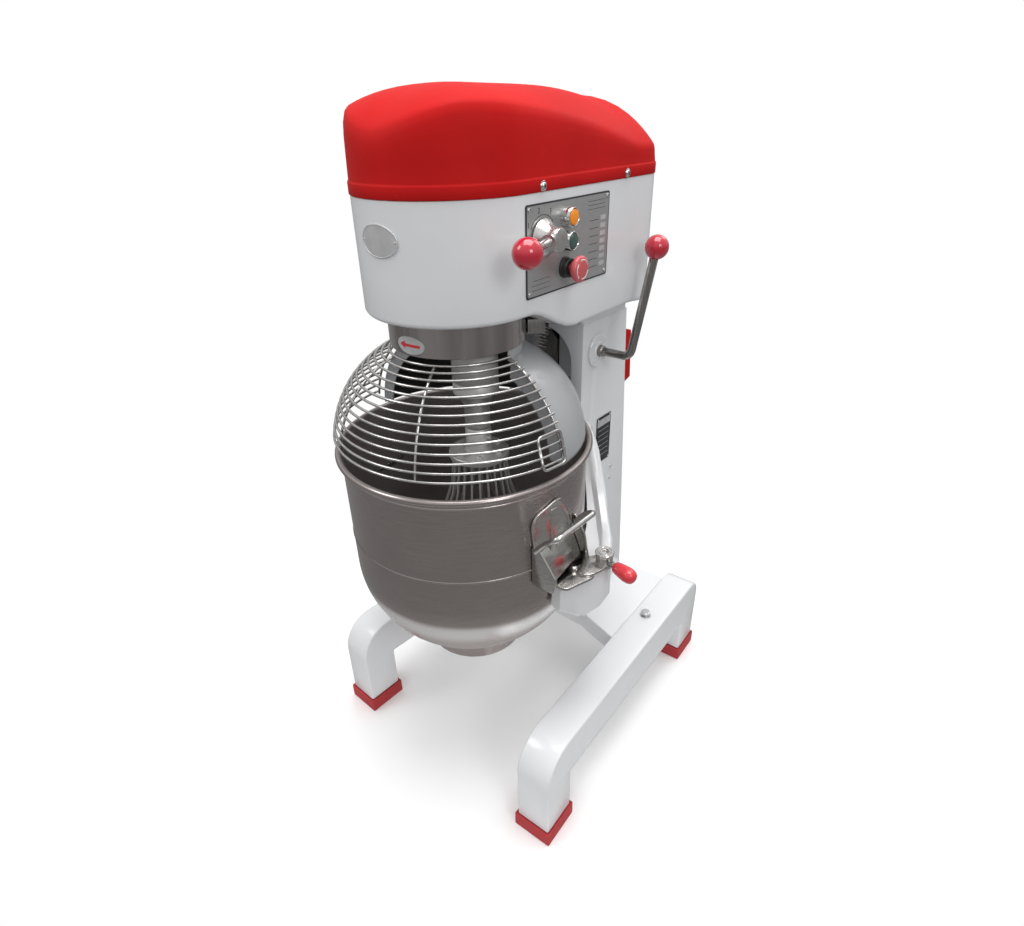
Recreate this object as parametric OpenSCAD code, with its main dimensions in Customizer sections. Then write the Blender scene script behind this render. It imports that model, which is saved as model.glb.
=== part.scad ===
// Floor-standing planetary mixer: a splayed two-leg base, a hollow column, a head with a
// planetary drive, a bowl on a lifting yoke, a swinging wire guard and a lift lever.
// Every module works from the bowl's vertical axis, with Y to the back of the machine,
// and place() then moves it so that the origin lies under the middle of the machine.

/* [Bowl] */
// Outer radius of the bowl's straight wall
bowl_r = 220; // [190:1:270]
// Sheet thickness of the bowl
bowl_wall = 2.5; // [1.5:0.5:5]
// Height of the bowl's rim above the floor, with the yoke raised
rim_z = 758; // [740:1:780]
// Length of the straight wall, from the rim down to the round bottom
straight_wall = 228; // [150:1:260]
// Outer radius of the foot ring under the bowl
foot_ring_r = 98; // [70:1:120]
// Radius of the rolled edge
rim_roll_r = 5.5; // [3:0.5:8]

/* [Base] */
// Width of a leg's box section
leg_w = 73; // [50:1:100]
// Depth of a leg's foot, front to back
foot_d = 80; // [60:1:110]
// Length of a leg over its feet
leg_l = 680; // [600:1:850]
// Distance of each front foot from the middle
leg_x = 260.5; // [240:0.5:330]
// Angle that each leg turns out towards the front
leg_splay = 2.1; // [0:0.1:6]
// Height of a leg's top at the front
leg_top_front = 234; // [225:1:260]
// Height of a leg's top at the back
leg_top_back = 219.5; // [219.5:0.5:240]
// Height of the rubber foot pads
pad_h = 34; // [20:1:45]
// How far a pad stands out around its foot
pad_lip = 4.5; // [1:0.5:8]

/* [Column] */
// Half the width of the column
col_half_w = 92; // [80:1:110]
// Height of the column's top
col_top = 915; // [900:1:925]
// Depth of the column at its foot
col_depth_foot = 209; // [180:1:240]
// Depth of the column at its top
col_depth_top = 157; // [150:1:200]
// Wall thickness of the castings
cast_wall = 8; // [5:1:12]
// How far the yoke can be lowered
lift_travel = 140; // [60:1:160]

/* [Head] */
// Radius of the head's round front
head_r = 145; // [140:1:175]
// Height of the underside of the round front
head_floor_z = 1000; // [990:1:1010]
// Height of the joint between head and cover
cover_base_z = 1166; // [1150:1:1200]
// Height of the top of the cover
cover_top_z = 1305; // [1280:1:1360]
// Outer radius of the steel collar under the head
collar_r = 113; // [105:1:120]
// Height of the collar's lower edge
collar_z = 930.6; // [925:0.1:950]

/* [Guard] */
// Radius of the guard's curved side, seen from the side
guard_arc_r = 189; // [185:1:200]
// Thickness of the guard's wires
wire_d = 4.4; // [3:0.2:6]
// Number of hoops in the wire guard
hoop_count = 14; // [8:1:16]

/* [Drive] */
// Direction of the beater's shaft at rest, seen from above
beater_angle = -24; // [-60:1:0]
// Pitch radius of the pinion that lifts the rack
lift_pitch_r = 60; // [54:3:66]
// Radius of the whisk
whisk_r = 132; // [100:1:135]

/* [Controls] */
// Diameter of the red ball knobs
ball_d = 42; // [30:1:50]
// Diameter of the emergency stop's head
estop_d = 40; // [30:1:45]
// Diameter of the round push buttons' bezels
button_d = 29; // [22:1:32]
// Travel of the push buttons
button_travel = 3; // [2:0.5:4]

/* [Hidden] */
$fn = 96;
gap = 0.3;
running = 0.05;
eps = 0.01;
rim_r = bowl_r + 10;
clear_r = rim_r + 4;
foot_front_y = -144;
pad_half = leg_w / 2 + pad_lip;
back_reach = foot_front_y + (leg_l + pad_lip) * cos(leg_splay) + pad_half * sin(leg_splay);
axis_y = -(back_reach - rim_r) / 2;
bowl_center_z = rim_z - straight_wall;
col_front = rim_r + 8;
col_foot_z = 219;
platform_h = 47;
recess_half_w = 66;
recess_d = 36;
way_x = 36;
way_w = 20;
way_d = 12;
yoke_z = [500, 758];
recess_z = [yoke_z[0] - lift_travel - 8, 900];
way_top = 792;
arm_z = [488, 556];
arm_plate_z = 560;
arm_r = rim_r + 54;
pin_pos = [bowl_r + 24, 0];
post_pos = [bowl_r + 53, 52];
foot_ring_drop = 6;
ear_z = arm_plate_z + gap;
ear_t = 6;
bracket_y = -18;
lift_axis = [col_front + 50, 855];
lift_tooth_m = 4;
lift_teeth = round(2 * lift_pitch_r / lift_tooth_m);
rack_y = lift_axis[0] + lift_pitch_r;
web_y = col_front + recess_d - way_d - gap;
guard_center = [39, 757];
guard_top_a = acos((collar_r + gap + wire_d / 2 - guard_center[0]) / guard_arc_r);
guard_low_a = 9.7;
dome_r = guard_arc_r - 11;
rod_arc_r = guard_arc_r - wire_d - 0.1;
ring_pitch_r = 96;
planet_module = 4;
planet_teeth = 16;
ring_teeth = round(2 * ring_pitch_r / planet_module);
planet_pitch_r = planet_teeth * planet_module / 2;
beater_offset = ring_pitch_r - planet_pitch_r;
beater_pos = [beater_offset * cos(beater_angle), beater_offset * sin(beater_angle)];
carrier_z = [938, 992];
planet_z = [1002, 1026];
deck_z = [1034, 1044];
gear_z = [1056, 1076];
gear_m = 3;
main_teeth = 60;
counter_teeth = 20;
counter_y = gear_m * (main_teeth + counter_teeth) / 2;
belt_deck_z = [1150, 1160];
pulley_z = [1178, 1206];
counter_pulley_r = 70;
motor_pulley_r = 35;
motor_y = 268;
motor_r = 66;
motor_z = [1058, 1149.7];
control_y = [-1, 218];
control_z = [1021, 1152];
button_y = 95;
button_zs = [1127, 1093];
estop_z = 1053;
speed_pos = [38, 1104];
lever_x = 165;
panel_x = head_r + 1.5;
head_back_y = col_front + 174;
head_corner_r = 60;
cover_wall = 3;
cover_front_z = cover_top_z - 65;
cover_peak_z = cover_top_z - 28;
cover_peak_y = -70;
cover_fall = [0.05, 0.0003];
cover_sag = 0.0005;
screw_y = [39, 270];

white = "WhiteSmoke";
steel = "Silver";

// ---------------------------------------------------------------- helpers

module place() { translate([0, axis_y, 0]) children(); }

module both_sides() {
    children();
    mirror([1, 0, 0]) children();
}

// Turns an outline drawn as (y, z) into a slab across the machine, from x0 to x1.
module across(x0, x1) {
    translate([x0, 0, 0]) rotate([90, 0, 90]) linear_extrude(x1 - x0) children();
}

module tube(r_out, r_in, h) {
    difference() {
        cylinder(r = r_out, h = h);
        translate([0, 0, -1]) cylinder(r = r_in, h = h + 2);
    }
}

// A cylinder along +X from the origin.
module rod_x(r, l) { rotate([0, 90, 0]) cylinder(r = r, h = l); }

module screw_x(r, l) {
    rod_x(r, l * 0.5);
    translate([l * 0.5, 0, 0]) rod_x(r * 0.62, l * 0.5);
}

// Points of an arc about c, from angle a0 to a1.
function arc(c, r, a0, a1, n = 10) =
    [for (i = [0:n]) let (a = a0 + (a1 - a0) * i / n) c + r * [cos(a), sin(a)]];

// Outline of a toothed wheel with straight-sided teeth. The half widths at root and tip
// are shares of the pitch, and leave a tooth 0.45 of the pitch wide at the pitch circle.
function gear_outline(teeth, m, root = 1.15, tip = 0.8, root_w = 0.36, tip_w = 0.13) =
    [for (i = [0:teeth - 1]) let (p = 360 / teeth, r = teeth * m / 2)
        for (k = [[-root_w, r - root * m], [-tip_w, r + tip * m],
                  [tip_w, r + tip * m], [root_w, r - root * m]])
            k[1] * [cos((i + k[0]) * p), sin((i + k[0]) * p)]];

// ---------------------------------------------------------------- base

module leg_frame(side) {
    mirror([side < 0 ? 1 : 0, 0, 0])
        translate([leg_x, foot_front_y, 0]) rotate([0, 0, leg_splay]) children();
}

// Side view of a leg, drawn w inside its outer surface.
module leg_side(w) {
    front_r = 55;
    back_r = 46;
    floor_z = pad_h + (w > 0 ? -1 : 0);
    under_front = 135;
    under_back = 116;
    polygon(concat(
        [[w, floor_z]],
        arc([front_r, leg_top_front - front_r], front_r - w, 180, 92),
        arc([leg_l - back_r, leg_top_back - back_r], back_r - w, 88, 0),
        [[leg_l - w, floor_z], [leg_l - foot_d + w, floor_z],
         [leg_l - foot_d + w, under_back + w], [foot_d - w, under_front + w],
         [foot_d - w, floor_z]]));
}

module leg(side) {
    bolt_y = 470;
    leg_frame(side) difference() {
        across(-leg_w / 2, leg_w / 2) leg_side(0);
        across(-leg_w / 2 + 5, leg_w / 2 - 5) leg_side(5);
        translate([-8, bolt_y, leg_top_back - 20]) cylinder(r = 6.3, h = 60);
    }
}

module left_leg() { color(white) place() leg(-1); }
module right_leg() { color(white) place() leg(1); }

function leg_inner_x(y) =
    leg_x - 0.1 - (leg_w / 2) / cos(leg_splay) - (y - foot_front_y) * tan(leg_splay);

module platform_outline(inset) {
    back = col_front + col_depth_foot + 28 - inset;
    mid = leg_x - 155 - inset;
    front = [[mid, col_front + 10 + inset],
             [leg_inner_x(col_front - 20) - inset, col_front - 20 + inset]];
    side = [leg_inner_x(back) - inset, back];
    polygon(concat([front[0], front[1], side],
                   [for (p = [side, front[1], front[0]]) [-p[0], p[1]]]));
}

module base_platform() {
    color(white) place() difference() {
        translate([0, 0, col_foot_z - platform_h]) linear_extrude(platform_h)
            platform_outline(0);
        translate([0, 0, col_foot_z - platform_h - 1]) linear_extrude(platform_h - 9)
            platform_outline(cast_wall);
    }
}

module foot_pads() {
    color("IndianRed") place() for (side = [-1, 1], y = [-pad_lip, leg_l - foot_d - pad_lip])
        leg_frame(side) translate([-pad_half, y, 0])
            cube([2 * pad_half, foot_d + 2 * pad_lip, pad_h]);
}

module base_bolts() {
    slope = atan((leg_top_front - leg_top_back) / (leg_l - 80));
    color(steel) place() for (side = [-1, 1]) leg_frame(side)
        translate([-8, 470, leg_top_front - (470 - 55) * tan(slope)]) rotate([-slope, 0, 0]) {
            translate([0, 0, 0.9]) cylinder(r = 13, h = 2.5);
            translate([0, 0, 3.4]) cylinder(r = 9.5, h = 9, $fn = 6);
            translate([0, 0, -18]) cylinder(r = 6, h = 19);
        }
}

// ---------------------------------------------------------------- column

function col_back(z) = col_front + col_depth_foot
    + (col_depth_top - col_depth_foot) * (z - col_foot_z) / (col_top - col_foot_z);

module column_side(w) {
    z0 = col_foot_z - (w > 0 ? 1 : 0);
    z1 = col_top + (w > 0 ? 1 : 0);
    polygon([[col_front + w, z0], [col_back(z0) - w, z0], [col_back(z1) - w, z1],
             [col_front + w, z1]]);
}

module recess(w, d) {
    top_r = recess_half_w + w;
    translate([0, col_front - 1, 0]) rotate([-90, 0, 0]) mirror([0, 1, 0])
        linear_extrude(d + 1 + w) union() {
            translate([-top_r, recess_z[0] - w])
                square([2 * top_r, recess_z[1] - top_r - recess_z[0] + w]);
            translate([0, recess_z[1] - top_r]) circle(r = top_r);
        }
}

module column() {
    slot_low = 700 - lift_travel - 30;
    color(white) place() difference() {
        across(-col_half_w, col_half_w) column_side(0);
        difference() {
            across(-col_half_w + cast_wall, col_half_w - cast_wall) column_side(cast_wall);
            recess(cast_wall, recess_d);
        }
        recess(0, recess_d);
        translate([-16, col_front, slot_low])
            cube([32, recess_d + 2 * cast_wall, 735 - slot_low]);
        translate([-12, col_front - 1, lift_axis[1] - lift_pitch_r - 10])
            cube([24, recess_d + cast_wall + 2, lift_pitch_r + 61]);
        translate([-col_half_w - 1, lift_axis[0], lift_axis[1]])
            rod_x(11 + running, 2 * col_half_w + 2);
        translate([0, col_back(270) - 20, 270]) rotate([-90, 0, 0]) cylinder(r = 12.2, h = 40);
    }
}

module slide_ways() {
    color(steel) place() both_sides()
        translate([way_x, col_front + recess_d - way_d, recess_z[0] + 12])
            cube([way_w, way_d, way_top - recess_z[0] - 12]);
}

module column_rear_cover() {
    cover_z = [750, 868];
    depth = 22;
    wall = 2;
    color("Red") place() difference() {
        across(-col_half_w, col_half_w)
            polygon([[col_back(cover_z[0]), cover_z[0]],
                     [col_back(cover_z[0]) + depth, cover_z[0] + 6],
                     [col_back(cover_z[1]) + depth, cover_z[1] - 6],
                     [col_back(cover_z[1]), cover_z[1]]]);
        across(-col_half_w + wall, col_half_w - wall)
            polygon([[col_back(cover_z[0]) - 1, cover_z[0] + wall],
                     [col_back(cover_z[0]) + depth - wall, cover_z[0] + 6 + wall],
                     [col_back(cover_z[1]) + depth - wall, cover_z[1] - 6 - wall],
                     [col_back(cover_z[1]) - 1, cover_z[1] - wall]]);
    }
}

module rear_cover_screws() {
    color(steel) place() for (x = [-70, 70], z = [772, 846])
        translate([x, col_back(z) + 22 + 0.9, z]) rotate([-90, 0, 0]) cylinder(r = 5, h = 2.5);
}

module cable_gland() {
    y = col_back(270);
    color("DimGray") place() translate([0, y, 270]) rotate([-90, 0, 0]) {
        translate([0, 0, -16]) tube(12, 6, 18.7);
        translate([0, 0, 2.7]) tube(16, 6, 8);
        translate([0, 0, 10.7]) tube(12, 6, 12);
    }
}

module side_plate() {
    color(steel) place() translate([col_half_w + gap, 0, 0]) {
        translate([0, col_front + 62, 590]) cube([1.2, 55, 110]);
        for (z = [530, 560]) translate([0, col_front + 128, z]) rod_x(4, 2);
    }
}

// ---------------------------------------------------------------- head

module head_plan(inset) {
    r = head_r - inset;
    corner = head_corner_r - inset;
    back = head_back_y - head_corner_r;
    circle(r = r);
    translate([-r, 0]) square([2 * r, back]);
    for (s = [-1, 1]) translate([s * (r - corner), back]) circle(r = corner);
    translate([-r + corner, back]) square([2 * (r - corner), corner]);
}

// Side view of the head behind its round front, drawn w inside.
module head_side(w) {
    polygon([[-head_r - 2, head_floor_z + w], [26, head_floor_z + w],
             [72, 968 + w], [141, 955 + w],
             [head_back_y + 2, 946 + w], [head_back_y + 2, cover_base_z + (w > 0 ? 1 : 0)],
             [-head_r - 2, cover_base_z + (w > 0 ? 1 : 0)]]);
}

module head_body(inset) {
    intersection() {
        translate([0, 0, 900]) linear_extrude(400) head_plan(inset);
        across(-head_r, head_r) head_side(inset);
    }
}

// The neck narrows from the head's underside to the column.
module neck(inset) {
    half = col_half_w - inset;
    front = col_front + inset;
    top_x = head_r - 4 - inset;
    corner = head_corner_r - 20;
    lift = inset > 0 ? 12 : 0;
    hull() {
        translate([-top_x, front - 70, 960]) cube([2 * top_x, 4, 2 + lift]);
        for (s = [-1, 1]) translate([s * (top_x - corner), head_back_y - 16 - inset - corner, 956])
            cylinder(r = corner, h = 2 + lift, $fn = 32);
        translate([-half, front, col_top + (inset > 0 ? -2 : gap)])
            cube([2 * half, col_back(col_top) - col_front - 2 * inset, 4]);
    }
}

module head_housing() {
    color(white) place() difference() {
        union() {
            head_body(0);
            neck(0);
        }
        head_body(cast_wall);
        neck(cast_wall);
        translate([0, 0, head_floor_z - 1]) cylinder(r = collar_r - 3, h = cast_wall + 2);
        translate([0, 0, collar_z]) cylinder(r = collar_r + gap, h = head_floor_z - collar_z);
        for (z = button_zs) translate([head_r - 20, button_y, z]) rod_x(5 + gap, 30);
        translate([head_r - 20, button_y, estop_z]) rod_x(5.5 + gap, 30);
        translate([head_r - 20, speed_pos[0], speed_pos[1]]) rod_x(11 + running, 30);
    }
}

// Plan outline of the cover, from its rear left corner round the front to its rear right.
function cover_plan(inset) =
    let (r = head_r + 1.5 - inset, corner = head_corner_r - inset,
         back = head_back_y - head_corner_r)
    concat([for (a = [90:15:180]) [corner - r + corner * cos(a), back + corner * sin(a)]],
           [for (t = [0.66, 0.33]) [-r, back * t]],
           [for (i = [0:23]) let (a = 180 + i * 180 / 23) r * [cos(a), sin(a)]],
           [for (t = [0.33, 0.66]) [r, back * t]],
           [for (a = [0:15:90]) [r - corner + corner * cos(a), back + corner * sin(a)]]);

// Height of the crease between the cover's side and its top: it climbs round the front to a
// peak, then falls to the back.
function crease_z(y) =
    let (u = acos(max(-1, min(1, -y / (head_r - 5)))) / acos(cover_peak_y / -(head_r - 5)),
         rise = u >= 1 ? 1 : (sin(90 * u) + u * u * (3 - 2 * u)) / 2)
    cover_peak_z - (cover_peak_z - cover_front_z) * (1 - rise)
        - cover_fall[0] * max(0, y - cover_peak_y)
        - cover_fall[1] * pow(max(0, y - cover_peak_y), 2);

// The cover's skin as rings from its rim to its top, drawn w inside.
function cover_rings(w) = concat(
    [for (k = [[0, gap], [0, 17 - w], [1.5, 18.5 - w]])
        [for (p = cover_plan(k[0] + w)) [p[0], p[1], cover_base_z + k[1]]]],
    [[for (p = cover_plan(3 + w))
        [p[0], p[1], cover_base_z + 18.5 + 0.8 * (crease_z(p[1]) - cover_base_z - 18.5) - w]]],
    [for (f = [0, 0.05, 0.12, 0.24, 0.4, 0.6, 0.8])
        [for (p = cover_plan(7 + w))
            let (ridge = [0, max(0, min(p[1], head_back_y - 120))],
                 q = p + (ridge - p) * f,
                 ridge_z = cover_top_z - cover_sag * pow(max(0, ridge[1] - 130), 2))
            [q[0], q[1], crease_z(p[1]) + (ridge_z - crease_z(p[1])) * (1 - pow(1 - f, 2.6)) - w]]]);

function wall_faces(first, rings, n, outward) =
    [for (k = [0:rings - 2], i = [0:n - 1])
        let (a = first + k * n + i, b = first + k * n + (i + 1) % n)
        each outward ? [[a, a + n, b + n], [a, b + n, b]] : [[a, b + n, a + n], [a, b, b + n]]];

function cap_faces(first, n, outward) =
    [for (i = [0:n / 2 - 2])
        let (face = [first + n - 1 - i, first + n - 2 - i, first + i + 1, first + i])
        outward ? face : [face[3], face[2], face[1], face[0]]];

module top_cover() {
    outer = cover_rings(0);
    inner = cover_rings(cover_wall);
    rings = len(outer);
    n = len(outer[0]);
    color("Red") place() polyhedron(
        points = [for (shell = [outer, inner], ring = shell, p = ring) p],
        faces = concat(
            wall_faces(0, rings, n, true),
            cap_faces((rings - 1) * n, n, true),
            wall_faces(rings * n, rings, n, false),
            cap_faces((2 * rings - 1) * n, n, false),
            [for (i = [0:n - 1])
                [i, (i + 1) % n, rings * n + (i + 1) % n, rings * n + i]]));
}

module cover_screws() {
    color(steel) place() both_sides() for (y = screw_y)
        translate([head_r + 1.5 + gap, y, cover_base_z + 9]) screw_x(5.5, 4);
}

module badge_plate() {
    color(steel) place() translate([0, -head_r + 1, 1112]) rotate([90, 0, 0])
        difference() {
            resize([75, 46, 4]) cylinder(r = 30, h = 4, $fn = 48);
            rotate([-90, 0, 0]) translate([0, -(-head_r + 1), -60])
                cylinder(r = head_r + gap, h = 120);
        }
}

// ---------------------------------------------------------------- controls

module control_plate() {
    color("Gray") place() difference() {
        translate([head_r + gap, control_y[0], control_z[0]])
            cube([1.2, control_y[1] - control_y[0], control_z[1] - control_z[0]]);
        for (z = button_zs) translate([head_r - 1, button_y, z]) rod_x(11.2, 4);
        translate([head_r - 1, button_y, estop_z]) rod_x(11.2, 4);
        translate([head_r - 1, speed_pos[0], speed_pos[1]]) rod_x(11 + gap, 4);
    }
}

module plate_screws() {
    color(steel) place() for (y = [control_y[0] + 7, control_y[1] - 7],
                              z = [control_z[0] + 7, control_z[1] - 7])
        translate([panel_x + gap, y, z]) screw_x(3.2, 2.4);
}

module button_bezels() {
    color(steel) place() for (z = button_zs)
        translate([panel_x + 0.1, button_y, z]) difference() {
            rotate([0, 90, 0]) cylinder(r1 = button_d / 2, r2 = button_d / 2 - 3, h = 9);
            translate([-1, 0, 0]) rod_x(9 + gap, 12);
        }
}

module push_button(z) {
    cap_x = panel_x + button_travel + 2;
    translate([cap_x, button_y, z]) rod_x(9, 7);
    translate([head_r - 24, button_y, z]) rod_x(5, cap_x - head_r + 24.1);
}

module yellow_button() { color("Gold") place() push_button(button_zs[0]); }
module green_button() { color("Green") place() push_button(button_zs[1]); }

module estop_base() {
    color("Black") place() translate([panel_x + 0.1, button_y, estop_z])
        rotate([0, 90, 0]) tube(15, 7, 12);
}

module estop_head() {
    color("Red") place() translate([panel_x, button_y, estop_z]) {
        translate([-24, 0, 0]) rod_x(5.5, 24 + 18);
        translate([18, 0, 0]) rotate([0, 90, 0]) cylinder(r1 = 13, r2 = estop_d / 2, h = 6);
        translate([24, 0, 0]) rod_x(estop_d / 2, 6);
        translate([30, 0, 0]) rotate([0, 90, 0])
            cylinder(r1 = estop_d / 2, r2 = estop_d / 2 - 5, h = 4);
    }
}

module speed_hub() {
    color(steel) place() translate([0, speed_pos[0], speed_pos[1]]) {
        translate([head_r - 30, 0, 0]) rod_x(11, 34);
        translate([panel_x + 2, 0, 0]) rotate([0, 90, 0]) cylinder(r1 = 27, r2 = 17, h = 16);
        translate([panel_x + 18, 0, 0]) rod_x(17, 14);
    }
}

speed_ball_pos = [200, -66, 1104];

module speed_lever() {
    start = [panel_x + 26, speed_pos[0] - 19.2, speed_pos[1]];
    d = speed_ball_pos - start;
    color(steel) place() translate(start)
        rotate([0, acos(d[2] / norm(d)), atan2(d[1], d[0])])
            cylinder(r = 6, h = norm(d) - ball_d / 2 - 0.05);
}

module speed_ball() { color("Crimson") place() translate(speed_ball_pos) sphere(d = ball_d); }

// ---------------------------------------------------------------- collar and guard

module collar() {
    color(steel) place() translate([0, 0, collar_z])
        difference() {
            cylinder(r = collar_r, h = head_floor_z - collar_z);
            translate([0, 0, -1]) cylinder(r = collar_r - 3.5, h = head_floor_z);
        }
}

module rear_guard() {
    lip_r = collar_r - 3.5 - gap;
    color("Gainsboro") place() rotate_extrude(angle = 180) {
        intersection() {
            translate(guard_center) difference() {
                circle(r = dome_r);
                circle(r = dome_r - 2);
            }
            translate([lip_r - 2, rim_z + 8]) square([300, 300]);
        }
        translate([lip_r - 2, 919.6]) square([2, collar_z + 3.5 - 919.6]);
    }
}

module guard_switch() {
    color("DimGray") place() rotate([0, 0, 48]) translate([collar_r + gap, -22, collar_z + 3])
        difference() {
            cube([30, 44, 25]);
            for (y = [12, 32]) translate([-1, y, 12.5]) rod_x(5, 22);
        }
}

function hoop_angle(i) = guard_top_a + (guard_low_a - guard_top_a) * i / (hoop_count - 1);

module guard_hoops() {
    color(steel) place() for (i = [0:hoop_count - 1]) {
        a = hoop_angle(i);
        rotate([0, 0, 180]) rotate_extrude(angle = 180)
            translate(guard_center + guard_arc_r * [cos(a), sin(a)]) circle(d = wire_d, $fn = 24);
    }
}

module guard_rods() {
    color(steel) place() for (az = [-2, -66, -114, -178])
        rotate([0, 0, az]) translate([guard_center[0], 0, guard_center[1]])
            rotate([90, 0, 0]) rotate([0, 0, guard_low_a - 1])
                rotate_extrude(angle = guard_top_a - guard_low_a + 1)
                    translate([rod_arc_r, 0]) circle(d = wire_d, $fn = 24);
}

// A bent-rod loop over the lower corner of the guard's right end.
module guard_handle() {
    r = guard_arc_r + wire_d - 0.7;
    color(steel) place() rotate([0, 0, -9]) translate([guard_center[0], 0, guard_center[1]])
        rotate([90, 0, 0]) {
            for (side = [-1, 1]) translate([0, 0, side * 24]) rotate([0, 0, 8])
                rotate_extrude(angle = 16) translate([r, 0]) circle(d = 5, $fn = 24);
            for (a = [8, 24]) rotate([0, 0, a]) translate([r, 0, -24]) {
                cylinder(d = 5, h = 48);
                for (z = [0, 48]) translate([0, 0, z]) sphere(d = 5.02, $fn = 24);
            }
        }
}

// ---------------------------------------------------------------- drive

module ring_gear() {
    color(steel) place() translate([0, 0, planet_z[0]]) linear_extrude(planet_z[1] - planet_z[0])
        difference() {
            circle(r = ring_pitch_r + 12);
            rotate(beater_angle)
                polygon(gear_outline(ring_teeth, planet_module, 0.8, 1.15, 0.37, 0.14));
        }
}

module bearing_deck() {
    color(white) place() translate([0, 0, deck_z[0]]) linear_extrude(deck_z[1] - deck_z[0])
        difference() {
            intersection() {
                head_plan(cast_wall + gap);
                translate([-200, -200]) square([400, 400]);
            }
            circle(r = 26);
            translate([0, counter_y]) circle(r = 22);
        }
}

module bearings() {
    color(steel) place() {
        translate([0, 0, deck_z[0]]) tube(26 - 0.02, 16 + running, 10);
        translate([0, counter_y, deck_z[0]]) tube(22 - 0.02, 12 + running, 10);
        translate([0, counter_y, belt_deck_z[0]]) tube(22 - 0.02, 12 + running, 10);
        translate([0, 0, belt_deck_z[0]]) tube(26 - 0.02, 16 + running, 10);
    }
}

module belt_deck() {
    color(white) place() translate([0, 0, belt_deck_z[0]])
        linear_extrude(belt_deck_z[1] - belt_deck_z[0]) difference() {
            head_plan(cast_wall + gap);
            circle(r = 26);
            translate([0, counter_y]) circle(r = 22);
            translate([0, motor_y]) circle(r = 20);
        }
}

module motor() {
    color("SteelBlue") place() translate([0, motor_y, 0]) {
        translate([0, 0, motor_z[0]]) difference() {
            cylinder(r = motor_r, h = motor_z[1] - motor_z[0]);
            translate([0, 0, 12]) cylinder(r = 9 + running, h = 200);
        }
        translate([0, 0, motor_z[0] - 10]) cylinder(r = motor_r - 8, h = 10);
    }
}

module motor_pulley() {
    color(steel) place() translate([0, motor_y, 0]) {
        translate([0, 0, motor_z[0] + 14]) cylinder(r = 9, h = pulley_z[0] - motor_z[0] - 14);
        pulley(motor_pulley_r);
    }
}

module pulley(r) {
    h = pulley_z[1] - pulley_z[0];
    translate([0, 0, pulley_z[0]]) rotate_extrude()
        polygon([[0, 0], [r + 5, 0], [r + 5, 3], [r, 8], [r, h - 8], [r + 5, h - 3],
                 [r + 5, h], [0, h]]);
}

module drive_belt() {
    z = pulley_z[0] + 8.5;
    a = asin((counter_pulley_r - motor_pulley_r) / (motor_y - counter_y));
    color("Black") place() translate([0, 0, z]) linear_extrude(11) difference() {
        belt_outline(counter_pulley_r + 6.5, motor_pulley_r + 6.5, a);
        belt_outline(counter_pulley_r + 0.5, motor_pulley_r + 0.5, a);
    }
}

module belt_outline(r_big, r_small, a) {
    polygon(concat(arc([0, counter_y], r_big, 180 - a, 360 + a, 40),
                   arc([0, motor_y], r_small, a, 180 - a, 24)));
}

module counter_shaft() {
    color(steel) place() translate([0, counter_y, 0]) {
        translate([0, 0, deck_z[0] - 4]) cylinder(r = 12, h = gear_z[0] - deck_z[0] + 4);
        translate([0, 0, gear_z[0]]) linear_extrude(gear_z[1] - gear_z[0])
            rotate(-90 + 180 / counter_teeth)
                polygon(gear_outline(counter_teeth, gear_m));
        translate([0, 0, gear_z[1]]) cylinder(r = 12, h = pulley_z[0] - gear_z[1]);
        pulley(counter_pulley_r);
    }
}

module planet_carrier() {
    color(steel) place() {
        difference() {
            translate([0, 0, carrier_z[0]])
                cylinder(r = collar_r - 6, h = carrier_z[1] - carrier_z[0]);
            translate([beater_pos[0], beater_pos[1], carrier_z[0] - 1])
                cylinder(r = 16 + running, h = 100);
        }
        translate([0, 0, carrier_z[1]]) cylinder(r = 16, h = gear_z[0] - carrier_z[1]);
        translate([0, 0, gear_z[0]]) linear_extrude(gear_z[1] - gear_z[0])
            rotate(90) polygon(gear_outline(main_teeth, gear_m));
        translate([0, 0, gear_z[1]]) cylinder(r = 16, h = belt_deck_z[1] + 3 - gear_z[1]);
    }
}

module beater_shaft() {
    color(steel) place() translate([beater_pos[0], beater_pos[1], 0]) {
        translate([0, 0, 772]) cylinder(r = 12.5, h = 92);
        translate([0, 0, 864]) cylinder(r = 33, h = carrier_z[0] - 0.6 - 864);
        translate([0, 0, carrier_z[0] - 0.6]) cylinder(r = 16, h = planet_z[0] - carrier_z[0] + 0.6);
        translate([0, 0, planet_z[0]]) linear_extrude(planet_z[1] - planet_z[0])
            rotate(beater_angle)
                polygon(gear_outline(planet_teeth, planet_module));
    }
}

// ---------------------------------------------------------------- whisk

whisk_top_z = 748;
whisk_low_z = 365;
whisk_wire_d = 4;
whisk_loops = 6;

module whisk_hub() {
    color(steel) place() translate([beater_pos[0], beater_pos[1], 0]) {
        translate([0, 0, whisk_top_z]) cylinder(r = 52, h = 10);
        difference() {
            translate([0, 0, whisk_top_z + 10]) cylinder(r = 22, h = 44);
            translate([0, 0, 772]) cylinder(r = 12.5 + 0.02, h = 60);
        }
    }
}

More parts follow.
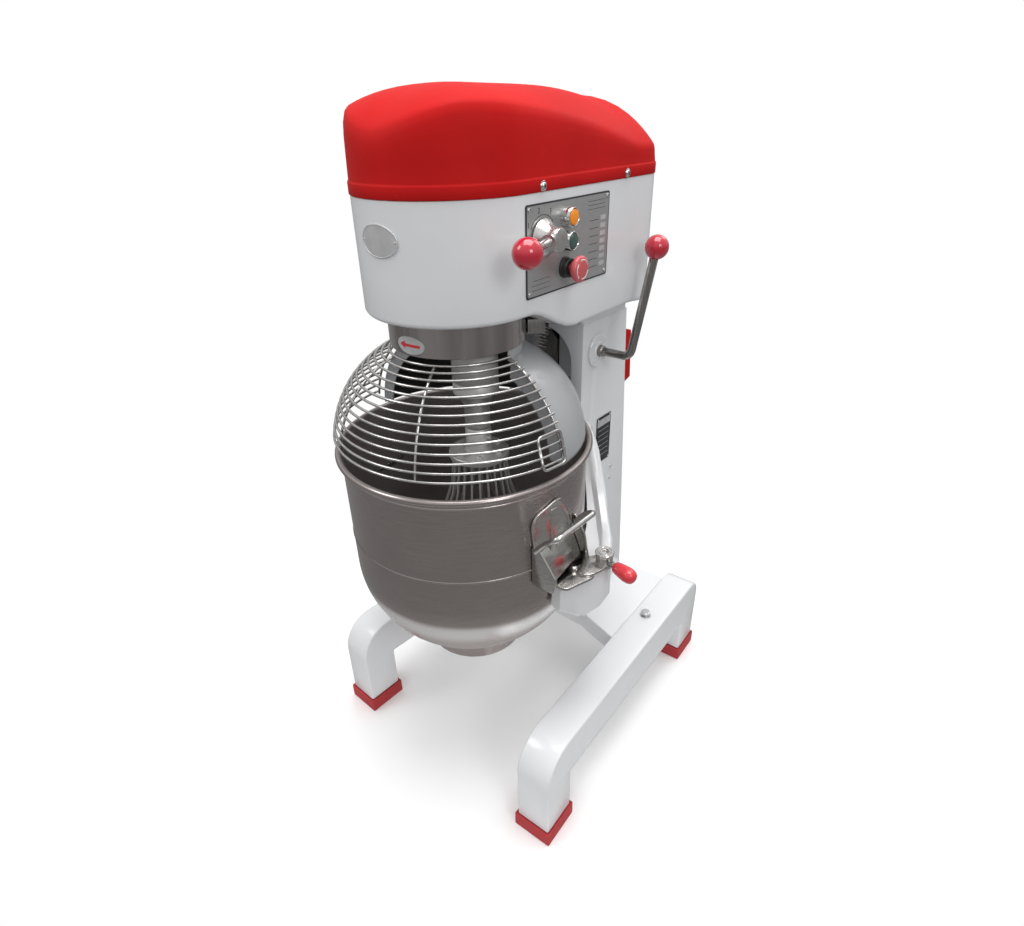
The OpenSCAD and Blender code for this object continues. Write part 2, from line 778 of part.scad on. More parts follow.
// Each wire is a loop: two nearly straight sides and a round bottom.
module whisk_wires() {
    mid_z = whisk_low_z + whisk_r;
    top_x = 44;
    lean = atan((whisk_r - top_x) / (whisk_top_z - mid_z));
    side_l = norm([whisk_r - top_x, whisk_top_z - mid_z]) - 0.2;
    color(steel) place() translate([beater_pos[0], beater_pos[1], 0])
        for (i = [0:whisk_loops - 1]) rotate([0, 0, i * 180 / whisk_loops]) {
            drop = i * (whisk_wire_d + 0.6);
            r = whisk_r - drop * 0.5;
            for (s = [-1, 1]) hull() {
                translate([s * top_x, 0, whisk_top_z - 2.2]) cylinder(d = whisk_wire_d, h = 2, $fn = 8);
                translate([s * r, 0, mid_z]) cylinder(d = whisk_wire_d, h = 1, $fn = 8);
            }
            translate([0, 0, mid_z]) rotate([90, 0, 0]) rotate([0, 0, 180])
                scale([1, (r - drop) / r, 1]) rotate_extrude(angle = 180, $fn = 48)
                    translate([r, 0]) circle(d = whisk_wire_d, $fn = 8);
        }
}

// ---------------------------------------------------------------- lift

module lift_flange() {
    color(white) place() translate([col_half_w, lift_axis[0], lift_axis[1]]) {
        rotate([0, 90, 0]) tube(33, 11 + gap, 6);
        for (a = [45:90:315]) translate([6, 24 * cos(a), 24 * sin(a)]) rod_x(3.5, 2);
    }
}

module lift_shaft() {
    color("DimGray") place() translate([0, lift_axis[0], lift_axis[1]]) {
        translate([-col_half_w + 2, 0, 0]) rod_x(11, col_half_w - 12);
        translate([-10, 0, 0]) rotate([90, 0, 90]) linear_extrude(20)
            polygon(gear_outline(lift_teeth, lift_tooth_m));
        translate([10, 0, 0]) rod_x(11, col_half_w - 10 + 14);
        translate([col_half_w + 14, 0, 0]) rod_x(8, lever_x - col_half_w - 14);
    }
}

lift_ball_pos = [190, 311, 1054];

module lift_lever() {
    start = [lever_x, lift_axis[0], lift_axis[1]];
    d = lift_ball_pos - start;
    color("DimGray") place() translate(start) difference() {
        union() {
            translate([gap, 0, 0]) sphere(r = 9.5);
            rotate([0, acos(d[2] / norm(d)), atan2(d[1], d[0])])
                cylinder(r = 8, h = norm(d) - ball_d / 2 - 0.05);
        }
        translate([-20, -20, -20]) cube([20 + gap, 40, 40]);
    }
}

module lift_ball() { color("Crimson") place() translate(lift_ball_pos) sphere(d = ball_d); }

module lift_rack() {
    pitch = PI * lift_tooth_m;
    z_first = lift_axis[1] + (0.5 - floor((lift_axis[1] - 730) / pitch)) * pitch;
    teeth = ceil((lift_axis[1] + lift_travel + 15 - z_first) / pitch);
    color(steel) place() {
        across(-9, 9) union() {
            polygon([[rack_y + 5, 706], [rack_y + 20, 706], [rack_y + 20, 1008],
                     [rack_y + 5, 1008]]);
            for (i = [0:teeth - 1]) translate([rack_y, z_first + i * pitch])
                polygon([[5 + eps, -0.40 * pitch], [-2.6, -0.14 * pitch],
                         [-2.6, 0.14 * pitch], [5 + eps, 0.40 * pitch]]);
        }
        translate([-9, web_y, 706]) cube([18, rack_y + 5 - web_y, 18]);
    }
}

module yoke() {
    end_outline = [[bowl_r, -24], [bowl_r + 38, -30], [bowl_r + 62, 10],
                   [bowl_r + 74, 60], [bowl_r + 70, 92], [bowl_r, 96]];
    back_y = col_front - gap;
    color(white) place() difference() {
        union() {
            both_sides() {
                translate([0, 0, arm_z[0]]) linear_extrude(arm_plate_z - arm_z[0])
                    polygon(end_outline);
                translate([0, 0, arm_z[0]]) intersection() {
                    linear_extrude(arm_z[1] - arm_z[0]) difference() {
                        circle(r = arm_r);
                        circle(r = bowl_r);
                    }
                    linear_extrude(arm_z[1] - arm_z[0])
                        polygon([[0, 0], [400, 110], [400, 330], [122, 330], [122, back_y],
                                 [60, back_y]]);
                }
                hull() {
                    translate([60, back_y - 45, yoke_z[1] - 6]) cube([62, 45, 6]);
                    translate([60, back_y - 60, arm_z[1]]) cube([75, 60, 2]);
                    translate([60, back_y - 60, arm_z[0]]) cube([75, 60, 2]);
                }
            }
            translate([-60.5, back_y - 45, yoke_z[0]])
                cube([121, web_y - back_y + 45, yoke_z[1] - yoke_z[0]]);
        }
        translate([0, 0, 600]) cylinder(r = clear_r, h = 300);
        translate([0, 0, arm_z[0] - 20]) cylinder(r = bowl_r + 3, h = 200);
        both_sides() translate([way_x - gap, web_y - gap, yoke_z[0] - 20])
            cube([way_w + 2 * gap, 40, 400]);
        both_sides() translate([recess_half_w - 2, back_y, 0]) cube([80, 40, 900]);
        both_sides() translate([pin_pos[0], pin_pos[1], arm_plate_z - 14]) cylinder(r = 6, h = 30);
        both_sides() translate([post_pos[0], post_pos[1], arm_plate_z - 20]) cylinder(r = 6, h = 40);
    }
}

module yoke_pins() {
    color(steel) place() both_sides() {
        translate([pin_pos[0], pin_pos[1], arm_plate_z - 14]) cylinder(r = 6, h = 14 + ear_t + 7);
        translate([pin_pos[0], pin_pos[1], ear_z + ear_t + 6.7]) cylinder(r1 = 6, r2 = 3, h = 3);
        translate([post_pos[0], post_pos[1], arm_plate_z - 20]) cylinder(r = 6, h = 44);
        translate([post_pos[0], post_pos[1], arm_plate_z + 24]) difference() {
            cylinder(r = 17, h = 6);
            translate([0, 0, 2]) cylinder(r = 5, h = 6, $fn = 6);
        }
    }
}

// ---------------------------------------------------------------- bowl

module bowl() {
    wall_in = bowl_r - bowl_wall;
    roll = rim_r - rim_roll_r;
    color("Gray") place() rotate_extrude() union() {
        translate([wall_in, bowl_center_z]) square([bowl_wall, straight_wall - rim_roll_r]);
        translate([wall_in, rim_z - 2 * rim_roll_r]) square([roll - wall_in, 3]);
        translate([roll, rim_z - rim_roll_r]) circle(r = rim_roll_r, $fn = 32);
        intersection() {
            translate([0, bowl_center_z]) difference() {
                circle(r = bowl_r);
                circle(r = wall_in);
            }
            translate([0, bowl_center_z - bowl_r - 1]) square([bowl_r + 1, bowl_r + 1]);
        }
    }
}

module bowl_foot_ring() {
    color("Gray") place() rotate_extrude() difference() {
        translate([foot_ring_r - 4, bowl_center_z - bowl_r - foot_ring_drop])
            square([4, 60]);
        translate([0, bowl_center_z]) circle(r = bowl_r + 0.1);
    }
}

module bowl_brackets() {
    w = 56;
    color(steel) place() both_sides() difference() {
        union() {
            translate([bowl_r - 25, bracket_y - w, ear_z + 40]) cube([30, 2 * w, 100]);
            translate([bowl_r - 14, bracket_y - w, ear_z + ear_t]) cube([19, 2 * w, 36]);
            translate([bowl_r - 4, -30, ear_z]) cube([48, 68, ear_t]);
            for (y = [bracket_y - w, 34]) across_plate(y);
        }
        translate([0, 0, 300]) cylinder(r = bowl_r + 0.1, h = 600);
        translate([pin_pos[0], pin_pos[1], 500]) cylinder(r = 6 + gap, h = 100);
    }
}

module across_plate(y) {
    translate([0, y + 4, 0]) rotate([90, 0, 0]) linear_extrude(4)
        polygon([[bowl_r - 20, ear_z + ear_t - 2], [bowl_r + 16, ear_z + ear_t - 2],
                 [bowl_r + 16, ear_z + 60], [bowl_r + 5, ear_z + 110],
                 [bowl_r - 20, ear_z + 110]]);
}

module bowl_handles() {
    z = 662;
    half = 44;
    rise = 34;
    x_in = bowl_r + 5 + gap;
    x_out = bowl_r + 52;
    lean = atan(rise / (x_out - x_in));
    l = norm([rise, x_out - x_in]);
    color(steel) place() both_sides() translate([x_in, bracket_y, z]) rotate([0, -lean, 0])
        difference() {
            union() {
                for (s = [-1, 1]) translate([-4, s * half, 0]) rod_x(5, l + 4);
                translate([l, -half, 0]) rotate([-90, 0, 0]) cylinder(r = 5, h = 2 * half);
                for (s = [-1, 1]) translate([l, s * half, 0]) sphere(r = 5, $fn = 32);
            }
            rotate([0, lean, 0]) translate([-60, -200, -100]) cube([60, 400, 200]);
        }
}

module clamp_body() {
    tongue_z = ear_z + ear_t + gap;
    translate([post_pos[0], post_pos[1], 0]) {
        translate([0, 0, arm_plate_z + gap]) tube(15, 6 + running, 23.4);
        translate([0, 0, tongue_z]) difference() {
            linear_extrude(5) polygon([[-4, -12], [8, -14], [-4, -42], [-22, -36], [-14, -4]]);
            translate([0, 0, -1]) cylinder(r = 10, h = 10);
        }
        translate([0, 0, arm_plate_z + 12]) rotate([0, 0, -13]) translate([14.5, 0, 0])
            rod_x(6, 12);
    }
}

module clamp_grip() {
    translate([post_pos[0], post_pos[1], arm_plate_z + 12]) rotate([0, 0, -13])
        translate([26.6, 0, 0]) rotate([0, 90, 0]) {
            cylinder(r1 = 8, r2 = 11, h = 22);
            translate([0, 0, 22]) cylinder(r = 11, h = 12);
            translate([0, 0, 34]) sphere(r = 11);
        }
}

module clamp_right() { color(steel) place() clamp_body(); }
module clamp_right_grip() { color("Crimson") place() clamp_grip(); }
module clamp_left() { color(steel) place() mirror([1, 0, 0]) clamp_body(); }
module clamp_left_grip() { color("Crimson") place() mirror([1, 0, 0]) clamp_grip(); }

left_leg();
right_leg();
base_platform();
foot_pads();
base_bolts();
column();
slide_ways();
column_rear_cover();
rear_cover_screws();
cable_gland();
side_plate();
head_housing();
top_cover();
cover_screws();
badge_plate();
control_plate();
plate_screws();
button_bezels();
yellow_button();
green_button();
estop_base();
estop_head();
speed_hub();
speed_lever();
speed_ball();
collar();
rear_guard();
guard_switch();
guard_hoops();
guard_rods();
guard_handle();
ring_gear();
bearing_deck();
bearings();
belt_deck();
motor();
motor_pulley();
drive_belt();
counter_shaft();
planet_carrier();
beater_shaft();
whisk_hub();
whisk_wires();
lift_flange();
lift_shaft();
lift_lever();
lift_ball();
lift_rack();
yoke();
yoke_pins();
bowl();
bowl_foot_ring();
bowl_brackets();
bowl_handles();
clamp_right();
clamp_right_grip();
clamp_left();
clamp_left_grip();
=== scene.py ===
"""Looks of a floor-standing planetary mixer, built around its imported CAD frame.

Shapes are drawn in millimetres about the bowl's upright axis (X to the control side, Y to the
back, Z up), and piece() then puts them into the frame, in metres.
"""

import math

import bmesh
import bpy
from mathutils import Matrix, Vector


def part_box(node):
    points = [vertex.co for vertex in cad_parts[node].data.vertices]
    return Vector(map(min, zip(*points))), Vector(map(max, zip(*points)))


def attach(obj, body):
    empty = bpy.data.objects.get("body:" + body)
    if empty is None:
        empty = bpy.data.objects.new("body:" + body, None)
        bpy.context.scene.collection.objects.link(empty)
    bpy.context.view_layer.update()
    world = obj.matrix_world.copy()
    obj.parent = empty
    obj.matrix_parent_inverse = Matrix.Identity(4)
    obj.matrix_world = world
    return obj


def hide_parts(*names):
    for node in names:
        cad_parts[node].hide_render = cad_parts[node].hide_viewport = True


bl_info = {
    "name": "Planetary mixer",
    "version": (1, 0, 0),
    "blender": (4, 5, 0),
    "location": "View3D > Sidebar > Mixer",
    "description": "Builds a floor-standing planetary mixer around its CAD frame",
    "category": "Object",
}

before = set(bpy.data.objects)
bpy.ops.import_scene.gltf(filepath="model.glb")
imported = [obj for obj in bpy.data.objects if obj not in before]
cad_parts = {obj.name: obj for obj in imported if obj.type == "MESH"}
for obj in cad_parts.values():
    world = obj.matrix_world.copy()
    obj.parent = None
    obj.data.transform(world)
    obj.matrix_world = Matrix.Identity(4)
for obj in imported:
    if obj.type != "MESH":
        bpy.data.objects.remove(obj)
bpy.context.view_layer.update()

# ------------------------------------------------------------------ main places, in mm

BOWL_BOX = [1000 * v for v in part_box("bowl")]
AXIS_Y = (BOWL_BOX[0].y + BOWL_BOX[1].y) / 2
TO_FRAME = Matrix.Scale(0.001, 4) @ Matrix.Translation((0, AXIS_Y, 0))
FROM_FRAME = TO_FRAME.inverted()
RIM_Z = BOWL_BOX[1].z
RIM_R = (BOWL_BOX[1].x - BOWL_BOX[0].x) / 2
BOWL_R = RIM_R - 10
BOWL_CENTRE_Z = RIM_Z - 228
BOTTOM_DEPTH = 205
COLUMN_FRONT = RIM_R + 8
COLUMN_HALF = 92
HEAD_R = 145
HEAD_BACK = COLUMN_FRONT + 174
HEAD_CORNER = 60
HEAD_FLOOR_Z = 993.5
COVER_Z = 1166
COVER_TOP_Z = 1305
COLLAR_R = 113
COLLAR_Z = 939
COLLAR_WALL = 3.5
GUARD_R = 189
GUARD_CENTRE = (39, 757)
GUARD_LOW = 9.7
PANEL_X = HEAD_R + 1.5
BUTTON_Y = 95
YELLOW_Z, GREEN_Z, STOP_Z = 1127, 1093, 1053
SPEED_HUB = (38, 1104)
SPEED_BALL = (200, -66, 1104)
LIFT_AXIS = (COLUMN_FRONT + 50, 855)
LIFT_BALL = (190, 311, 1054)
BEATER = (58.45, -26.02)
POST = (BOWL_R + 53, 52)
PIN = (BOWL_R + 24, 0)
ARM_PLATE_Z = 560
# Heights in metres of the painted reflection of the floor low on the bowl: below the upper one the
# steel's colour is lighter, and between the two runs a near-white stripe.
BOWL_REFLECTION_BAND = (0.44, 0.49)
# Turns a shape drawn as (y, z) and raised along its own Z into one raised along X.
SIDEWAYS = Matrix(((0, 0, 1, 0), (1, 0, 0, 0), (0, 1, 0, 0), (0, 0, 0, 1)))
MIRROR_X = Matrix.Scale(-1, 4, (1, 0, 0))


def at(x=0, y=0, z=0, toward=None):
    """A move to a point, with Z turned to look along toward."""
    place = Matrix.Translation((x, y, z))
    if toward is None:
        return place
    return place @ Vector(toward).to_track_quat("Z", "Y").to_matrix().to_4x4()


def arc(centre, radius, start, end, steps):
    """Points on an arc, from angle start to end in degrees."""
    turn = [math.radians(start + (end - start) * i / steps) for i in range(steps + 1)]
    return [(centre[0] + radius * math.cos(a), centre[1] + radius * math.sin(a)) for a in turn]


def ease(value, low, high):
    """A smooth step from 0 at low to 1 at high."""
    t = min(1.0, max(0.0, (value - low) / (high - low)))
    return t * t * (3 - 2 * t)


def turned(degrees, axis="Z"):
    """A turn about one of the axes."""
    return Matrix.Rotation(math.radians(degrees), 4, axis)


# ------------------------------------------------------------------ shapes


def soften(bm, width, segments=3, angle=30):
    """Rounds the edges where two faces meet at more than angle."""
    edges = [e for e in bm.edges
             if len(e.link_faces) == 2 and e.calc_face_angle(0) > math.radians(angle)]
    if edges and width:
        bmesh.ops.bevel(bm, geom=edges, offset=width, affect="EDGES", segments=segments,
                        profile=0.5, material=-1, clamp_overlap=True)
    return bm


def prism(outline, height, edge=0, segments=2):
    """A flat outline raised along Z."""
    bm = bmesh.new()
    face = bm.faces.new([bm.verts.new((x, y, 0)) for x, y in outline])
    raised = bmesh.ops.extrude_face_region(bm, geom=[face])
    bmesh.ops.translate(bm, vec=(0, 0, height),
                        verts=[v for v in raised["geom"] if isinstance(v, bmesh.types.BMVert)])
    bmesh.ops.recalc_face_normals(bm, faces=bm.faces)
    return soften(bm, edge, segments)


def box(size, edge=0, segments=2):
    """A block whose middle is at the origin."""
    bm = bmesh.new()
    bmesh.ops.create_cube(bm, size=1)
    bmesh.ops.scale(bm, vec=size, verts=bm.verts)
    return soften(bm, edge, segments)


def lathe(profile, steps=96, angle=360):
    """A profile of (radius, height) points turned round Z."""
    bm = bmesh.new()
    points = [bm.verts.new((r, 0, z)) for r, z in profile]
    edges = [bm.edges.new(pair) for pair in zip(points, points[1:])]
    bmesh.ops.spin(bm, geom=points + edges, cent=(0, 0, 0), axis=(0, 0, 1),
                   angle=math.radians(angle), steps=steps, use_merge=angle == 360)
    bmesh.ops.remove_doubles(bm, verts=bm.verts, dist=1e-4)
    bmesh.ops.recalc_face_normals(bm, faces=bm.faces)
    return bm


def rod(radius, length, edge=0, steps=32, hollow=0):
    """A round bar along Z from the origin, its ends chamfered."""
    edge = min(edge, radius / 2, length / 2)
    profile = [(hollow, 0), (radius - edge, 0), (radius, edge), (radius, length - edge),
               (radius - edge, length), (hollow, length)]
    return lathe(profile + profile[:1] if hollow else profile, steps)


def bends(points, radius, steps=6):
    """A path through points whose corners are rounded."""
    points = [Vector(p) for p in points]
    path = [points[0]]
    for a, b, c in zip(points, points[1:], points[2:]):
        cut = min(radius, (a - b).length * 0.49, (c - b).length * 0.49)
        start, end = b + (a - b).normalized() * cut, b + (c - b).normalized() * cut
        for i in range(steps + 1):
            t = i / steps
            path.append(start * (1 - t) ** 2 + b * 2 * t * (1 - t) + end * t * t)
    return path + [points[-1]]


def from_curve(curve, name):
    """The mesh of a curve or a text, which is then removed."""
    holder = bpy.data.objects.new(name, curve)
    mesh = bpy.data.meshes.new_from_object(holder)
    bm = bmesh.new()
    bm.from_mesh(mesh)
    bmesh.ops.remove_doubles(bm, verts=bm.verts, dist=1e-3)
    bpy.data.objects.remove(holder)
    bpy.data.curves.remove(curve)
    bpy.data.meshes.remove(mesh)
    return bm


def wire(path, radius, sides=10):
    """A round wire along a path of points, its ends closed."""
    curve = bpy.data.curves.new("wire", "CURVE")
    curve.dimensions = "3D"
    curve.bevel_depth = radius
    curve.bevel_resolution = max(0, sides // 2 - 2)
    curve.use_fill_caps = True
    spline = curve.splines.new("POLY")
    spline.points.add(len(path) - 1)
    for point, place in zip(spline.points, path):
        point.co = (*place, 1)
    bm = from_curve(curve, "wire")
    bmesh.ops.recalc_face_normals(bm, faces=bm.faces)
    return bm


def letters(text, height, depth):
    """Numerals or a sign, raised along Z, with their middle at the origin."""
    curve = bpy.data.curves.new("letters", "FONT")
    curve.body = text
    curve.size = height
    curve.extrude = depth
    curve.align_x, curve.align_y = "CENTER", "CENTER"
    return from_curve(curve, "letters")


def loft(rings, closed_ends=True):
    """A skin over rings of equal length, each a list of points."""
    bm = bmesh.new()
    loops = []
    for ring in rings:
        points = [bm.verts.new(p) for p in ring]
        loops.append([bm.edges.new((a, b)) for a, b in zip(points, points[1:] + points[:1])])
    for low, high in zip(loops, loops[1:]):
        bmesh.ops.bridge_loops(bm, edges=low + high)
    if closed_ends:
        for loop in (loops[0], loops[-1]):
            bmesh.ops.contextual_create(bm, geom=loop)
    bmesh.ops.recalc_face_normals(bm, faces=bm.faces)
    return bm


def rounded_outline(half, front, back, corner):
    """A rectangle with round corners, from its rear left corner round the front."""
    x, y0, y1 = half - corner, front + corner, back - corner
    return [point for cx, cy, start in ((-x, y1, 90), (-x, y0, 180), (x, y0, 270), (x, y1, 0))
            for point in arc((cx, cy), corner, start, start + 90, 8)]


def rounded_rect(width, height, corner):
    """A rectangle round the origin with round corners."""
    x, y = width / 2 - corner, height / 2 - corner
    return [point for cx, cy, start in ((x, y, 0), (-x, y, 90), (-x, -y, 180), (x, -y, 270))
            for point in arc((cx, cy), corner, start, start + 90, 6)]


def knob(radius):
    """A ball with a flat where its stem enters, along +Z."""
    profile = [(radius * math.sin(math.radians(a)), -radius * math.cos(math.radians(a)))
               for a in range(0, 158, 6)]
    rim = profile[-1]
    return lathe([(0, -radius)] + profile[1:] + [(rim[0] * 0.96, rim[1] + 0.5),
                                                 (0, rim[1] + 0.5)], 64)


def bent_outline(points, corner):
    """An outline whose corners are rounded."""
    n = len(points)
    path = []
    for i in range(n):
        a, b, c = (Vector((*points[(i + k) % n], 0)) for k in (-1, 0, 1))
        path += [(p.x, p.y) for p in bends([a, b, c], corner, 4)[1:-1]]
    return path


def open_edges(bm, above=-math.inf):
    """Edges of the holes in a mesh that start above a height."""
    return [e for e in bm.edges if len(e.link_faces) == 1 and e.verts[0].co.z > above]


def off_middle(edges):
    """Those of the edges that don't cross the middle plane."""
    return [e for e in edges if abs(sum(v.co.x for v in e.verts)) > 1e-3]


def cut_away(bm, point, beyond):
    """Takes off what lies beyond a plane through point, and closes the cut."""
    bmesh.ops.bisect_plane(bm, geom=bm.verts[:] + bm.edges[:] + bm.faces[:],
                           plane_co=point, plane_no=beyond, clear_outer=True)
    bmesh.ops.holes_fill(bm, edges=open_edges(bm))
    return bm


def from_cad(node, edge=0, segments=2, angle=30):
    """A merged copy of a CAD node with its edges rounded."""
    bm = bmesh.new()
    bm.from_mesh(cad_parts[node].data)
    bmesh.ops.transform(bm, matrix=FROM_FRAME, verts=bm.verts)
    bmesh.ops.remove_doubles(bm, verts=bm.verts, dist=0.01)
    bmesh.ops.dissolve_degenerate(bm, edges=bm.edges, dist=0.005)
    bmesh.ops.dissolve_limit(bm, angle_limit=math.radians(0.6), verts=bm.verts,
                             edges=bm.edges, use_dissolve_boundaries=False)
    return soften(bm, edge, segments, angle)


def united(first, second):
    """One closed skin around two shapes that overlap."""
    holders = []
    for bm in (first, second):
        mesh = bpy.data.meshes.new("part")
        bm.to_mesh(mesh)
        bm.free()
        holder = bpy.data.objects.new("part", mesh)
        bpy.context.scene.collection.objects.link(holder)
        holders.append(holder)
    union = holders[0].modifiers.new("union", "BOOLEAN")
    union.operation, union.solver, union.object = "UNION", "EXACT", holders[1]
    graph = bpy.context.evaluated_depsgraph_get()
    result = bmesh.new()
    result.from_object(holders[0], graph)
    for holder in holders:
        mesh = holder.data
        bpy.data.objects.remove(holder)
        bpy.data.meshes.remove(mesh)
    bmesh.ops.remove_doubles(result, verts=result.verts, dist=0.01)
    return result


class Shape:
    """Parts gathered into one mesh, each with the number of its finish."""

    def __init__(self):
        self.bm = bmesh.new()

    def add(self, part, place=None, skin=None):
        """Moves a part into place; without a skin it keeps the finish numbers it has."""
        place = place or Matrix()
        bmesh.ops.transform(part, matrix=place, verts=part.verts)
        if place.determinant() < 0:
            bmesh.ops.reverse_faces(part, faces=part.faces)
        if skin is not None:
            for face in part.faces:
                face.material_index = skin
        mesh = bpy.data.meshes.new("part")
        part.to_mesh(mesh)
        part.free()
        self.bm.from_mesh(mesh)
        bpy.data.meshes.remove(mesh)
        return self


def piece(name, shape, finishes, body, stands_for=(), sharp=38, modifiers=()):
    """Puts a finished shape into the frame, on its body."""
    bm = shape.bm if isinstance(shape, Shape) else shape
    bmesh.ops.transform(bm, matrix=TO_FRAME, verts=bm.verts)
    mesh = bpy.data.meshes.new(name)
    bm.to_mesh(mesh)
    bm.free()
    mesh.shade_smooth()
    mesh.set_sharp_from_angle(angle=math.radians(sharp))
    for each in finishes.split():
        mesh.materials.append(finish(each))
    obj = bpy.data.objects.new(name, mesh)
    bpy.context.scene.collection.objects.link(obj)
    for kind, settings in modifiers:
        modifier = obj.modifiers.new(kind.lower(), kind)
        for key, value in settings.items():
            setattr(modifier, key, value)
    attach(obj, body)
    if stands_for:
        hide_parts(*stands_for)
    return obj


def dress(names, finish_name):
    """Gives CAD nodes, whose shape is right as it is, a finish."""
    for name in names.split():
        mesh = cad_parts[name].data
        mesh.materials.clear()
        mesh.materials.append(finish(finish_name))
        mesh.shade_smooth()
        mesh.set_sharp_from_angle(angle=math.radians(35))


# ------------------------------------------------------------------ finishes


class Signal:
    """A material's socket that takes part in sums."""

    def __init__(self, maker, socket):
        self.maker, self.socket = maker, socket

    def math(self, operation, a, b):
        return self.maker.node("ShaderNodeMath", {"operation": operation}, {0: a, 1: b})

    def __add__(self, other):
        return self.math("ADD", self, other)

    def __mul__(self, other):
        return self.math("MULTIPLY", self, other)

    def __rsub__(self, other):
        return self.math("SUBTRACT", other, self)

    __radd__ = __add__
    __rmul__ = __mul__


class Net:
    """A node tree in the making."""

    def __init__(self, tree):
        self.tree = tree

    def node(self, kind, settings=None, sockets=None, output=0):
        """Adds a node: its settings, or a ramp's stops, come first, then its sockets."""
        made = self.tree.nodes.new(kind)
        for key, value in (settings or {}).items():
            if key == "stops":
                ramp = made.color_ramp
                for element, (place, tone) in zip(ramp.elements, (value[0], value[-1])):
                    element.position, element.color = place, (*tone, 1)
                for place, tone in value[1:-1]:
                    ramp.elements.new(place).color = (*tone, 1)
            else:
                setattr(made, key, value)
        for key, value in (sockets or {}).items():
            self.feed(made.inputs[key], value)
        return Signal(self, made.outputs[output])

    def feed(self, socket, value):
        if isinstance(value, Signal):
            self.tree.links.new(value.socket, socket)
        elif hasattr(socket.default_value, "__len__") and len(value) < len(socket.default_value):
            socket.default_value = (*value, 1)
        else:
            socket.default_value = value


class Maker(Net):
    """A material in the making, around one Principled shader."""

    def __init__(self, name, **constants):
        self.material = bpy.data.materials.new(name)
        self.material.use_nodes = True
        super().__init__(self.material.node_tree)
        self.shader = self.tree.nodes["Principled BSDF"]
        self.set(**constants)

    def set(self, **sockets):
        for key, value in sockets.items():
            self.feed(self.shader.inputs[key.replace("_", " ")], value)
        return self

    def noise(self, scale, detail=2, stretch=(1, 1, 1), rough=0.5):
        """A noise fixed to the piece, stretched along its axes."""
        place = self.node("ShaderNodeTexCoord", output="Object")
        place = self.node("ShaderNodeMapping", {}, {"Vector": place, "Scale": stretch})
        return self.node("ShaderNodeTexNoise", {}, {
            "Vector": place, "Scale": scale, "Detail": detail, "Roughness": rough})

    def mix(self, mask, a, b):
        return self.node("ShaderNodeMix", {"data_type": "RGBA"},
                         {"Factor": mask, "A": a, "B": b}, output="Result")

    def step(self, value, low, high):
        """A smooth step from 0 at low to 1 at high."""
        return self.node("ShaderNodeMapRange", {"interpolation_type": "SMOOTHSTEP"},
                         {"Value": value, "From Min": low, "From Max": high})

    def bump(self, height, strength, distance=0.001):
        self.set(Normal=self.node("ShaderNodeBump", {}, {
            "Height": height, "Strength": strength, "Distance": distance}, "Normal"))


def shade(colour, factor):
    """A colour made darker or lighter."""
    return tuple(min(1.0, c * factor) for c in colour[:3])


def painted(name, colour, rough=0.24, peel=0.05, coat=0.3):
    """Sprayed gloss enamel, with orange peel, a faint cloudiness and a little dust."""
    m = Maker(name, Coat_Weight=coat, Coat_Roughness=0.06, IOR=1.5)
    cloud = m.noise(5, 3)
    dust = m.step(m.noise(240, 2), 0.68, 0.8)
    tone = m.mix(m.step(cloud, 0.3, 0.7), shade(colour, 0.955), colour)
    m.set(Base_Color=m.mix(dust * 0.1, tone, shade(colour, 0.7)),
          Roughness=cloud * 0.1 + dust * 0.2 + (rough - 0.05))
    m.bump(m.noise(420, 1), peel, 0.0006)
    return m.material


def moulded(name, colour, rough=0.35, grain=900, depth=0.12, coat=0.0, shine=0.5):
    """Moulded plastic or rubber, with a fine grain and light scuffs."""
    m = Maker(name, Coat_Weight=coat, Coat_Roughness=0.1, Specular_IOR_Level=shine)
    cloud = m.noise(9, 3)
    scuff = m.step(m.noise(60, 4, (1, 1, 1), 0.7), 0.64, 0.8)
    tone = m.mix(m.step(cloud, 0.3, 0.7), shade(colour, 0.93), shade(colour, 1.03))
    pale = tuple(c + (0.55 - c) * 0.22 for c in colour[:3])
    m.set(Base_Color=m.mix(scuff * 0.1, tone, pale),
          Roughness=cloud * 0.1 + scuff * 0.12 + (rough - 0.06))
    m.bump(m.noise(grain, 2), depth, 0.0005)
    return m.material


def steel(name, colour, rough=0.25, grain=(1, 1, 1), scale=60, depth=0.1, streak_and_sheen=0.12,
          spread=0.0, turn=0.0, polish=0.08, band=None):
    """Bare metal whose grain runs where it is stretched least, with lighter and darker lines that
    paint highlights where they are broad; given a band, a painted reflection of the floor lightens
    it below the band.
    """
    m = Maker(name, Metallic=1.0, Anisotropic=spread, Anisotropic_Rotation=turn)
    lines = m.noise(scale, 4, grain, 0.65)
    cloud = m.noise(7, 3)
    tone = m.mix(m.step(lines, 0.3, 0.7), shade(colour, 1 - streak_and_sheen), shade(colour, 1 + streak_and_sheen))
    tone = m.mix(m.step(cloud, 0.35, 0.7) * 0.5, tone, shade(colour, 0.88))
    # Painted reflection of the floor: below the band's upper height the colour is lighter, and a
    # near-white stripe runs between its heights.
    if band:
        place = m.node("ShaderNodeTexCoord", output="Object")
        height = m.node("ShaderNodeSeparateXYZ", {}, {"Vector": place}, "Z")
        wavy = m.noise(5, 1) * 0.02 + height
        low, high = band
        under = 1 - m.step(wavy, high, high + 0.02)
        tone = m.mix(under * 0.55, tone, shade(colour, 2.0))
        tone = m.mix(under * m.step(wavy, low, low + 0.04), tone, (0.95, 0.93, 0.92))
    m.set(Base_Color=tone,
          Roughness=lines * polish + cloud * 0.1 + (rough - 0.05 - polish / 2))
    m.bump(lines, depth, 0.0002)
    return m.material


